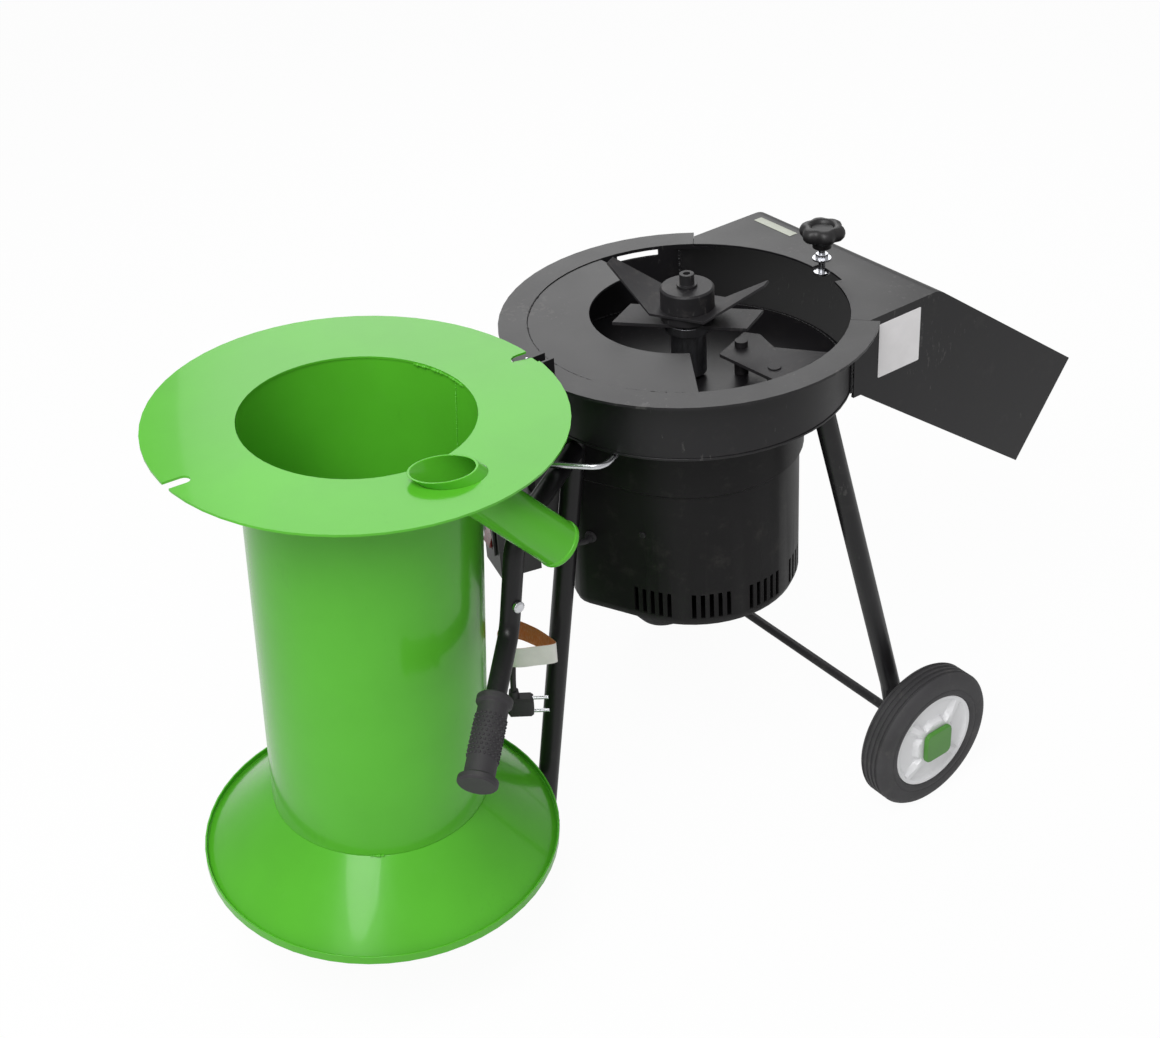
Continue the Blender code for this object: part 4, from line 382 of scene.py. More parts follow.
def smooth(value, low, high):
    """0 below low, 1 above high, with a soft step between them."""
    share = min(1.0, max(0.0, (value - low) / (high - low)))
    return share * share * (3 - 2 * share)


def shade(colour, share):
    """A colour made darker or brighter."""
    return tuple(min(1.0, part * share) for part in colour)


def finish(name, colour, roughness, metallic=0.0, coat=0.0, level=0.5, grain=900.0, depth=0.00002,
           mottle=0.12, lumps=14.0, wear=0.0, wear_colour=(0.3, 0.3, 0.3), dust=0.0, pattern=None):
    """A material with uneven colour and gloss, a fine surface grain, and scuffs and dust where asked.

    Lumps and grain are how many patches and grains of noise a metre holds. Mottle is how far the
    colour strays, and depth is the height of the grain. A pattern changes colour, gloss and height.
    """
    material = bpy.data.materials.new(name)
    material.use_nodes = True
    recipe = Recipe(material.node_tree)
    place = recipe.node("ShaderNodeTexCoord", output=3)
    broad = recipe.noise(place, lumps, 4.0, 0.55)
    fine = recipe.noise(place, grain, 3.0, 0.6)
    tint = recipe.mix(
        recipe.ramp(broad, 0.3, 0.72), shade(colour, 1.0 - mottle), shade(colour, 1.0 + mottle))
    gloss = (broad - 0.5) * 0.14 + (fine - 0.5) * 0.10 + roughness
    height = fine
    if pattern:
        tint, gloss, height = pattern(recipe, place, tint, gloss, height)
    if wear:
        scuff = recipe.noise(place, 160.0, 5.0, 0.62, (1.0, 1.0, 0.35))
        patch = recipe.noise(place, 11.0, 2.0)
        worn = recipe.ramp(scuff * 0.7 + patch * 0.45, 0.70, 0.76) * wear
        tint = recipe.mix(worn, tint, wear_colour)
        gloss = gloss + worn * 0.2
    if dust:
        powder = recipe.ramp(recipe.noise(place, 38.0, 6.0, 0.7), 0.52, 0.8) * dust
        tint = recipe.mix(powder, tint, srgb(150, 146, 138))
        gloss = gloss + powder * 0.3
    bump = recipe.node(
        "ShaderNodeBump", None, {"Strength": 1.0, "Distance": depth, "Height": height})
    shader = recipe.node("ShaderNodeBsdfPrincipled", None, {
        "Base Color": tint, "Roughness": gloss, "Metallic": metallic, "Coat Weight": coat,
        "Coat Roughness": 0.05, "Specular IOR Level": level, "Normal": bump})
    recipe.node("ShaderNodeOutputMaterial", None, {"Surface": shader})
    material.diffuse_color = (*colour, 1.0)
    return material


def brushed(recipe, place, tint, gloss, height):
    """Fine lines of a drawn or turned metal."""
    lines = recipe.noise(place, 420.0, 2.0, 0.5, (1.0, 1.0, 0.06))
    tint = recipe.mix(recipe.ramp(lines, 0.35, 0.7), tint, srgb(150, 151, 156))
    return tint, gloss + lines * 0.12, height + lines


def sooty(recipe, place, tint, gloss, height):
    """Heat marks and a rough skin on blackened steel."""
    marks = recipe.noise(place, 55.0, 5.0, 0.65)
    tint = recipe.mix(recipe.ramp(marks, 0.5, 0.8) * 0.5, tint, srgb(84, 80, 78))
    return tint, gloss + marks * 0.12, height + marks


def windings(recipe, place, tint, gloss, height):
    """Turns of enamelled wire."""
    wire = recipe.node(
        "ShaderNodeTexWave", {"wave_type": "BANDS", "bands_direction": "Z"},
        {"Vector": place, "Scale": 180.0, "Distortion": 1.5, "Detail": 2.0}, 1)
    return recipe.mix(wire, shade(srgb(120, 64, 34), 0.6), tint), gloss, wire


def pressed_paper(recipe, place, tint, gloss, height):
    """Fibres of thin card."""
    fibre = recipe.noise(place, 700.0, 4.0, 0.7, (1.0, 1.0, 0.3))
    tint = recipe.mix(recipe.ramp(fibre, 0.4, 0.75) * 0.25, tint, srgb(240, 232, 224))
    return tint, gloss, fibre


FINISHES = {}       # by slot, or by the material's own short name where it shares a slot


def make_finishes(colours):
    """Fills FINISHES."""
    FINISHES.update({
        "black_paint": finish("satin_black_paint", colours.black_paint, 0.34, level=0.27, grain=620.0,
                              depth=0.00003, mottle=0.10,
                              wear=0.18, wear_colour=srgb(120, 118, 116), dust=0.03),
        "green_paint": finish("gloss_green_paint", colours.green_paint, 0.22, coat=0.2, level=0.2,
                              grain=430.0, depth=0.00003, mottle=0.05, lumps=7.0,
                              wear=0.10, wear_colour=shade(colours.green_paint, 0.6), dust=0.02),
        "cover_plastic": finish("grained_black_plastic", colours.cover_plastic, 0.40, level=0.14,
                                grain=1100.0, depth=0.00005, mottle=0.15, dust=0.05),
        "black_plastic": finish("moulded_black_plastic", shade(colours.cover_plastic, 1.3), 0.46,
                                level=0.45, grain=1300.0, depth=0.00004, dust=0.04),
        "dark_steel": finish("blackened_steel", colours.dark_steel, 0.42, 0.2, level=0.3,
                             grain=500.0, depth=0.00005, mottle=0.2,
                             wear=0.3, wear_colour=srgb(110, 108, 106), pattern=sooty),
        "bright_zinc": finish("zinc_plate", colours.zinc, 0.24, 1.0, mottle=0.10, lumps=60.0,
                              dust=0.05),
        "steel": finish("bare_steel", srgb(150, 150, 154), 0.30, 1.0, grain=800.0, lumps=40.0,
                        pattern=brushed),
        "copper": finish("enamelled_windings", srgb(184, 108, 62), 0.35, 0.6, depth=0.0003, mottle=0.15,
                         pattern=windings),
        "black_rubber": finish("soft_black_rubber", colours.rubber, 0.62, level=0.4, grain=1500.0,
                               depth=0.00006, mottle=0.14, dust=0.06),
        "tyre_rubber": finish("tyre_rubber", colours.tyre, 0.66, level=0.4, grain=1200.0,
                              depth=0.00008, mottle=0.14, lumps=24.0, dust=0.12),
        "white_plastic": finish("white_wheel_plastic", colours.wheel_white, 0.34, grain=700.0,
                                depth=0.00003, mottle=0.035, dust=0.04),
        "green_plastic": finish("green_cap_plastic", colours.cap_green, 0.38, grain=700.0,
                                depth=0.00004, mottle=0.08, dust=0.04),
        "red_plastic": finish("red_switch_plastic", srgb(150, 26, 24), 0.26, coat=0.3, mottle=0.08,
                              dust=0.03),
        "orange_paper": finish("orange_tag_card", colours.tag_orange, 0.68, depth=0.00006,
                               mottle=0.06, lumps=60.0, pattern=pressed_paper),
        "white_paper": finish("white_tag_card", srgb(232, 229, 226), 0.66, depth=0.00006, mottle=0.04,
                              lumps=60.0, pattern=pressed_paper),
        "white_label": finish("white_label_film", srgb(228, 226, 227), 0.40, grain=600.0, depth=0.00004,
                              mottle=0.03, lumps=50.0),
        "pale_label": finish("pale_label_film", srgb(178, 182, 168), 0.40, grain=600.0, depth=0.00004,
                             mottle=0.06, lumps=50.0),
    })


# ---------------------------------------------------------------- shared making

def base(x, y, z):
    """Where a point measured from the rim's middle stands."""
    return RIM_CENTRE + Vector((x, y, z))


def on_hopper(x, y, z):
    """Where a point of the closed hopper, measured from the rim's middle, stands on the open one."""
    axis = Vector((0.0, math.cos(HINGE_LEAN), math.sin(HINGE_LEAN)))
    turn = Matrix.Rotation(-HOPPER_OPENING, 3, axis)
    return RIM_CENTRE + HINGE + turn @ (Vector((x, y, z)) - HINGE)


def spline(a, b, c, d, t):
    """A point between b and c of a smooth curve through four points."""
    square = (2 * a - 5 * b + 4 * c - d) * t * t
    return 0.5 * (2 * b + (c - a) * t + square + (3 * b - a - 3 * c + d) * t ** 3)


def smooth_route(points, count, start_out, end_out):
    """Points read from a smooth curve through a cord's own points."""
    points = [Vector(point) for point in points]
    chain = [points[0] - start_out] + points + [points[-1] + end_out]
    spans = len(points) - 1
    route = []
    for step in range(count + 1):
        place = spans * step / count
        index = min(int(place), spans - 1)
        route.append(spline(*chain[index:index + 4], place - index))
    return route


def length_of(route):
    """Metres along a route's points."""
    return sum((b - a).length for a, b in zip(route, route[1:]))


def piece_from(name, mesh, slot, body, nodes=(), material=None):
    """An object at the origin that rides on a body and stands for the CAD nodes named."""
    mesh.materials.clear()
    mesh.materials.append(FINISHES[material or slot])
    piece = bpy.data.objects.new(name, mesh)
    bpy.context.scene.collection.objects.link(piece)
    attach(piece, body)
    if nodes:
        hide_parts(*nodes)
    return piece


def soften(piece, width):
    """A small round on every sharp edge, where the width isn't 0."""
    if width:
        bevel = piece.modifiers.new("edge_round", "BEVEL")
        bevel.width = width
        bevel.segments = 2
        bevel.limit_method = "ANGLE"
        bevel.angle_limit = math.radians(SHARP_ANGLE)
        bevel.harden_normals = True
    return piece


def shade_edges(shape, angle=SHARP_ANGLE):
    """Smooth faces with hard edges where the surface turns sharply."""
    limit = math.radians(angle)
    for face in shape.faces:
        face.smooth = True
    for edge in shape.edges:
        edge.smooth = len(edge.link_faces) == 2 and edge.calc_face_angle(0.0) < limit


def dress(node, slot, width, material=None):
    """A cleaned copy of a CAD node with soft edges, in the node's place."""
    source = frame["nodes"][node]
    shape = bmesh.new()
    shape.from_mesh(source.data)
    bmesh.ops.remove_doubles(shape, verts=shape.verts, dist=CAD_MERGE)
    bmesh.ops.dissolve_limit(
        shape, angle_limit=math.radians(FLAT_ANGLE), verts=shape.verts, edges=shape.edges)
    shade_edges(shape)
    mesh = bpy.data.meshes.new(node + "_dressed")
    shape.to_mesh(mesh)
    shape.free()
    piece = piece_from(node + "_dressed", mesh, slot, source["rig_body"], [node], material)
    return soften(piece, width)


def dress_all(slot, width, *nodes):
    """Dresses nodes that share a slot and a rounding."""
    return [dress(node, slot, width) for node in nodes]


def skin_mesh(name, rings, loop=False, angle=SHARP_ANGLE):
    """A mesh through rings of points. Its end rings are filled, or joined to each other by loop."""
    shape = bmesh.new()
    placed = [[shape.verts.new(point) for point in ring] for ring in rings]
    count = len(rings[0])
    pairs = list(zip(placed, placed[1:])) + ([(placed[-1], placed[0])] if loop else [])
    for low, high in pairs:
        for step in range(count):
            after = (step + 1) % count
            shape.faces.new((low[step], low[after], high[after], high[step]))
    if not loop:
        shape.faces.new(list(reversed(placed[0])))
        shape.faces.new(placed[-1])
    bmesh.ops.remove_doubles(shape, verts=shape.verts, dist=SKIN_MERGE)
    bmesh.ops.recalc_face_normals(shape, faces=shape.faces)
    shade_edges(shape, angle)
    mesh = bpy.data.meshes.new(name)
    shape.to_mesh(mesh)
    shape.free()
    return mesh


def turned_rings(profile, segments, place, across, up, along):
    """Rings of (radius, height) round an axis through place."""
    rings = []
    for radius, height in profile:
        rings.append([
            place + along * height + (across * math.cos(angle) + up * math.sin(angle)) * radius
            for angle in (math.tau * step / segments for step in range(segments))])
    return rings


# ---------------------------------------------------------------- geometry nodes

def bead_tree():
    """Small round beads along a line, each a little different, for welds and the points of a grip."""
    tree = bpy.data.node_groups.new("beads_along_line", "GeometryNodeTree")
    sockets = tree.interface
    sockets.new_socket("Line", in_out="INPUT", socket_type="NodeSocketGeometry")
    for name in ("Bead Radius", "Spacing", "Spread"):
        sockets.new_socket(name, in_out="INPUT", socket_type="NodeSocketFloat")
    sockets.new_socket("Seed", in_out="INPUT", socket_type="NodeSocketInt")
    sockets.new_socket("Finish", in_out="INPUT", socket_type="NodeSocketMaterial")
    sockets.new_socket("Beads", in_out="OUTPUT", socket_type="NodeSocketGeometry")
    recipe = Recipe(tree)
    given = recipe.node("NodeGroupInput")
    curve = recipe.node("GeometryNodeMeshToCurve", None, {"Mesh": given.beside("Line")})
    points = recipe.node(
        "GeometryNodeCurveToPoints", {"mode": "LENGTH"},
        {"Curve": curve, "Length": given.beside("Spacing")})
    bead = recipe.node(
        "GeometryNodeMeshIcoSphere", None, {"Radius": given.beside("Bead Radius"), "Subdivisions": 2})
    low = 1.0 - given.beside("Spread")
    high = 1.0 + given.beside("Spread")
    size = recipe.node(
        "FunctionNodeRandomValue", {"data_type": "FLOAT"}, {2: low, 3: high, 8: given.beside("Seed")}, 1)
    placed = recipe.node("GeometryNodeInstanceOnPoints", None, {
        "Points": points, "Instance": bead, "Rotation": points.beside("Rotation"), "Scale": size})
    real = recipe.node("GeometryNodeRealizeInstances", None, {"Geometry": placed})
    rounded = recipe.node(
        "GeometryNodeSetShadeSmooth", None, {"Geometry": real, "Shade Smooth": True})
    painted = recipe.node(
        "GeometryNodeSetMaterial", None, {"Geometry": rounded, "Material": given.beside("Finish")})
    recipe.node("NodeGroupOutput", None, {"Beads": painted})
    return tree


def beads(name, lines, slot, body, radius, spacing, spread, seed):
    """A plain mesh of beads along lines, from the geometry nodes."""
    mesh = bpy.data.meshes.new(name + "_lines")
    points = [point for line in lines for point in line]
    edges = []
    start = 0
    for line in lines:
        edges += [(start + step, start + step + 1) for step in range(len(line) - 1)]
        start += len(line)
    mesh.from_pydata(points, edges, [])
    guide = bpy.data.objects.new(name + "_lines", mesh)
    bpy.context.scene.collection.objects.link(guide)
    tree = bpy.data.node_groups.get("beads_along_line") or bead_tree()
    values = {
        "Bead Radius": radius, "Spacing": spacing, "Spread": spread, "Seed": seed,
        "Finish": FINISHES[slot],
    }
    grown = guide.modifiers.new("beads", "NODES")
    grown.node_group = tree
    for item in tree.interface.items_tree:
        if item.name in values and item.in_out == "INPUT":
            grown[item.identifier] = values[item.name]
    bpy.context.view_layer.update()
    evaluated = guide.evaluated_get(bpy.context.evaluated_depsgraph_get())
    result = bpy.data.meshes.new_from_object(evaluated)
    if not result.polygons:
        raise RuntimeError(f"no beads were made for {name}")
    guide.modifiers.remove(grown)
    bpy.data.objects.remove(guide)
    result.name = name
    return piece_from(name, result, slot, body)


def arc_line(radius, start, end, height, steps=40, place=base):
    """Points of an arc round the pan's or the hopper's axis, in degrees."""
    line = []
    for step in range(steps + 1):
        angle = math.radians(start + (end - start) * step / steps)
        line.append(place(radius * math.cos(angle), radius * math.sin(angle), height))
    return line


# ---------------------------------------------------------------- operators

class SHREDDER_OT_stage(Operator):
    """Makes the camera, the white floor, the soft light and the finishes."""

    bl_idname = "shredder.stage"
    bl_label = "Studio and Finishes"

    def execute(self, context):
        scene = context.scene
        studio = scene.shredder_studio
        scene.view_settings.view_transform = "Standard"
        lens = bpy.data.cameras.new("photo_camera")
        lens.lens = studio.focal_length
        lens.sensor_width = SENSOR_WIDTH
        lens.clip_end = CLIP_END
        camera = bpy.data.objects.new("photo_camera", lens)
        right = CAMERA_RIGHT.normalized()
        forward = CAMERA_FORWARD.normalized()
        up = right.cross(forward).normalized()
        turn = Matrix((right, up, -forward)).transposed().to_4x4()
        camera.matrix_world = Matrix.Translation(Vector(studio.camera_place)) @ turn
        scene.collection.objects.link(camera)
        scene.camera = camera
        self.sky(scene, studio)
        self.lamp(scene, "key_light", studio.key_power, *KEY_LAMP)
        self.lamp(scene, "sheen_light", studio.sheen_power, *SHEEN_LAMP)
        self.floor(scene, studio)
        make_finishes(scene.shredder_colours)
        return {"FINISHED"}

    def seen(self, recipe, mirrored):
        """1 for the rays of the camera, and the share mirrored for those of reflections."""
        path = recipe.node("ShaderNodeLightPath")
        direct = path.beside("Is Camera Ray") + path.beside("Is Glossy Ray") * mirrored
        return recipe.node(
            "ShaderNodeMath", {"operation": "ADD", "use_clamp": True},
            {0: direct, 1: path.beside("Is Transmission Ray")})

    def sky(self, scene, studio):
        """Soft light from all round that shows white."""
        world = bpy.data.worlds.new("soft_studio")
        world.use_nodes = True
        scene.world = world
        recipe = Recipe(world.node_tree)
        dim = recipe.node("ShaderNodeBackground", None, {"Color": WHITE, "Strength": studio.sky})
        white = recipe.node("ShaderNodeBackground", None, {"Color": WHITE, "Strength": 1.0})
        share = self.seen(recipe, studio.mirrored)
        both = recipe.node("ShaderNodeMixShader", None, {0: share, 1: dim, 2: white})
        recipe.node("ShaderNodeOutputWorld", None, {"Surface": both})

    def lamp(self, scene, name, power, size, place, shines_from):
        """A round soft lamp that the camera doesn't see."""
        lamp = bpy.data.lights.new(name, "AREA")
        lamp.shape = "DISK"
        lamp.size = size
        lamp.energy = power
        holder = bpy.data.objects.new(name, lamp)
        holder.matrix_world = Matrix.Translation(place) @ (
            Vector(shines_from).to_track_quat("Z", "Y").to_matrix().to_4x4())
        holder.visible_camera = False
        scene.collection.objects.link(holder)

    def floor(self, scene, studio):
        """A white floor that takes soft shadows."""
        material = bpy.data.materials.new("white_floor")
        material.use_nodes = True
        recipe = Recipe(material.node_tree)
        lit = recipe.node("ShaderNodeBsdfDiffuse", None, {"Color": FLOOR_GREY})
        glow = recipe.node("ShaderNodeEmission", None, {"Color": WHITE, "Strength": 1.0})
        share = self.seen(recipe, studio.mirrored) * studio.floor_glow
        both = recipe.node("ShaderNodeMixShader", None, {0: share, 1: lit, 2: glow})
        recipe.node("ShaderNodeOutputMaterial", None, {"Surface": both})
        mesh = bpy.data.meshes.new("studio_floor")
        reach = FLOOR_REACH
        mesh.from_pydata(
            [(-reach, -reach, 0), (reach, -reach, 0), (reach, reach, 0), (-reach, reach, 0)],
            [], [(0, 1, 2, 3)])
        mesh.materials.append(material)
        plane = bpy.data.objects.new("studio_floor", mesh)
        scene.collection.objects.link(plane)


class SHREDDER_OT_cords(Operator):
    """Makes the supply cord with its plug and card tag, and the motor's cable."""

    bl_idname = "shredder.cords"
    bl_label = "Cords, Plug and Tag"

    def execute(self, context):
        sizes = context.scene.shredder_sizes
        points = [CORD_START, *CORD_POINTS, CORD_ENTRY]
        route = [RIM_CENTRE + point for point in smooth_route(points, CORD_STEPS, CORD_DROP, CORD_DROP)]
        supply = self.cord("supply_cord", route, sizes.cord_diameter, "power_cord")
        plug = dress("plug", "black_rubber", PLUG_ROUNDING)
        pins = dress_all("bright_zinc", sizes.fine_rounding, "plug_pin_1", "plug_pin_2")
        tag = self.tag()
        length_of(route)
        before = CABLE_WALL + CABLE_WALL_OUT * CABLE_LEAD
        middle = (CABLE_START + CABLE_OUT * CABLE_LEAD + before) / 2
        cable = smooth_route([CABLE_START, middle, before], CABLE_STEPS,
                             CABLE_OUT * CABLE_LEAD, -CABLE_WALL_OUT * CABLE_LEAD)
        cable.append(CABLE_WALL - CABLE_WALL_OUT * CABLE_TAIL)
        cable = [RIM_CENTRE + point for point in cable]
        lead = self.cord("motor_lead", cable, sizes.cord_diameter, "motor_cable")
        length_of(cable)
        return {"FINISHED"}

    def cord(self, name, route, diameter, node):
        """A round cord along a route, in a CAD node's place."""
        curve = bpy.data.curves.new(name, "CURVE")
        curve.dimensions = "3D"
        curve.bevel_depth = diameter / 2
        curve.bevel_resolution = 5
        curve.use_fill_caps = True
        strand = curve.splines.new("POLY")
        strand.points.add(len(route) - 1)
        for point, place in zip(strand.points, route):
            point.co = (*place, 1.0)
        curve.materials.append(FINISHES["black_rubber"])
        piece = bpy.data.objects.new(name, curve)
        bpy.context.scene.collection.objects.link(piece)
        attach(piece, "frame")
        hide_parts(node)
        return piece

    def tag(self):
        """The card loop, orange inside and white outside."""
        loop = [RIM_CENTRE + Vector(point) for point in TAG_LOOP]
        count = len(loop)
        middle = sum(loop, Vector()) / count
        tall = Vector((0.0, 0.0, bpy.context.scene.shredder_sizes.tag_height / 2))
        rings = []
        for index in range(count):
            points = [loop[(index + step - 1) % count] for step in range(4)]
            for step in range(TAG_STEPS):
                place = spline(*points, step / TAG_STEPS)
                ahead = spline(*points, step / TAG_STEPS + TAG_AHEAD) - place
                out = Vector((ahead.y, -ahead.x, 0.0)).normalized() * HALF_CARD
                low, high = place - tall, place + tall
                rings.append([low - out, low + out, high + out, high - out])
        mesh = skin_mesh("card_tag", rings, loop=True)
        piece = piece_from("card_tag", mesh, "orange_paper", "frame", ["cord_tag"])
        piece.data.materials.append(FINISHES["white_paper"])
        for face in piece.data.polygons:
            outward = Vector(face.center) - middle
            if abs(face.normal.z) < 0.5 and face.normal.dot(outward) > 0:
                face.material_index = 1
        return [piece]


class SHREDDER_OT_frame(Operator):
    """Finishes the pan, chute, legs, handles, counter plate and axle, and adds the welds."""

    bl_idname = "shredder.frame_paint"
    bl_label = "Pan, Chute and Legs"

    def execute(self, context):
        sizes = context.scene.shredder_sizes
        dress_all("black_paint", sizes.rounding, "pan_drum", "pan_floor", "feed_guard_plate",
                  "discharge_chute", "hinge_bracket")
        dress_all("black_paint", sizes.fine_rounding, "front_leg", "rear_leg_left", "rear_leg_right",
                  "handle_left", "handle_right", "switch_bracket")
        dress_all("dark_steel", sizes.fine_rounding, "counter_plate", "counter_bolt_1", "counter_bolt_2",
                  "axle")
        radius, spacing = sizes.bead_radius, sizes.bead_spacing
        arcs = [arc_line(GUARD_WELD_RADIUS, *arc, GUARD_WELD_HEIGHT) for arc in GUARD_WELD_ARCS]
        beads("guard_weld", arcs, "black_paint", "frame", radius * 0.75, spacing, spread=0.35, seed=5)
        ring = arc_line(FLOOR_WELD_RADIUS, 0.0, 359.0, FLOOR_WELD_HEIGHT, 150)
        beads("floor_weld", [ring], "black_paint", "frame", radius, spacing, spread=0.3, seed=6)
        seams = []
        for turn in CHUTE_SEAM_TURNS:
            x = CHUTE_SEAM_RADIUS * math.cos(math.radians(turn))
            y = CHUTE_SEAM_RADIUS * math.sin(math.radians(turn))
            seams.append([
                base(x, y, CHUTE_SEAM_TOP - CHUTE_SEAM_LENGTH * step / CHUTE_SEAM_STEPS)
                for step in range(CHUTE_SEAM_STEPS + 1)])
        beads("chute_seams", seams, "black_paint", "frame", radius * 1.4, spacing, spread=0.2, seed=12)
        return {"FINISHED"}


class SHREDDER_OT_rotor(Operator):
    """Finishes the knife, the fan blade, the hub and the shaft."""

    bl_idname = "shredder.rotor"
    bl_label = "Rotor"

    def execute(self, context):
        sizes = context.scene.shredder_sizes
        dress_all("dark_steel", sizes.fine_rounding, "knife", "fan_blade", "rotor_hub", "rotor_spacer",
                  "rotor_screw")
        dress("motor_shaft", "steel", sizes.fine_rounding)
        dress("armature", "steel", sizes.rounding)
        dress("cooling_fan", "black_plastic", sizes.fine_rounding)
        return {"FINISHED"}


class SHREDDER_OT_motor(Operator):
    """Finishes the motor and its slotted cover, and adds the cover's screw."""

    bl_idname = "shredder.motor"
    bl_label = "Motor"

    def execute(self, context):
        sizes = context.scene.shredder_sizes
        dress("motor_cover", "black_plastic", sizes.fine_rounding, "cover_plastic")
        dress("motor_housing", "dark_steel", sizes.rounding)
        dress("stator", "copper", sizes.rounding)
        dress_all("bright_zinc", sizes.fine_rounding, "bearing_upper", "bearing_lower")
        dress("cable_grommet", "black_rubber", 0.0)
        out = CABLE_WALL_OUT
        rings = turned_rings(
            SCREW_HEAD, SCREW_SEGMENTS, base(*SCREW_PLACE), UPWARD, out.cross(UPWARD), out)
        piece_from("cover_screw", skin_mesh("cover_screw", rings), "dark_steel", "frame")
        return {"FINISHED"}


class SHREDDER_OT_hopper(Operator):
    """Paints the hopper and adds its seams and welds."""

    bl_idname = "shredder.hopper"
    bl_label = "Hopper"

    def execute(self, context):
        sizes = context.scene.shredder_sizes
        dress_all("green_paint", sizes.rounding, "hopper_plate", "hopper_tube", "intake_cone",
                  "branch_tube", "hinge_strap")
        radius, spacing = sizes.bead_radius, sizes.bead_spacing
        x = TUBE_BORE_RADIUS * math.cos(TUBE_SEAM_TURN)
        y = TUBE_BORE_RADIUS * math.sin(TUBE_SEAM_TURN)
        seam = [on_hopper(x, y, TUBE_SEAM_START + TUBE_SEAM_LENGTH * step / TUBE_SEAM_STEPS)
                for step in range(TUBE_SEAM_STEPS + 1)]
        weld = arc_line(TUBE_BORE_RADIUS, 150.0, 184.0, MOUTH_WELD_HEIGHT, place=on_hopper)
        tack = arc_line(CONE_TACK_RADIUS, 300.0, 306.0, CONE_TACK_HEIGHT, 8, place=on_hopper)
        for name, line, share, spread, seed in (
                ("tube_seam", seam, 0.6, 0.25, 7), ("mouth_weld", weld, 1.0, 0.45, 8),
                ("cone_tack", tack, 1.0, 0.3, 9)):
            beads(name, [line], "green_paint", "hopper", radius * share, spacing, spread, seed)
        return {"FINISHED"}


class SHREDDER_OT_clamp(Operator):
    """Makes the lobed knob and finishes its stud."""

    bl_idname = "shredder.clamp"
    bl_label = "Clamp Knob"

    def execute(self, context):
        sizes = context.scene.shredder_sizes
        dress("clamp_stud", "bright_zinc", sizes.fine_rounding)
        steps = KNOB_LOBES * KNOB_STEPS
        rings = []
        for radius, height in KNOB_PROFILE:
            depth = LOBE_DEPTH * max(0.0, radius - LOBE_START) / LOBE_RANGE
            ring = []
            for step in range(steps):
                angle = math.tau * step / steps
                reach = radius - depth * (0.5 - 0.5 * math.cos(KNOB_LOBES * angle)) ** LOBE_SHARPNESS
                ring.append(RIM_CENTRE + KNOB_PLACE + Vector((
                    reach * math.cos(angle), reach * math.sin(angle), height)))
            rings.append(ring)
        mesh = skin_mesh("lobed_knob", rings, angle=50.0)
        piece_from("lobed_knob", mesh, "black_plastic", "knob", ["star_knob"])
        return {"FINISHED"}


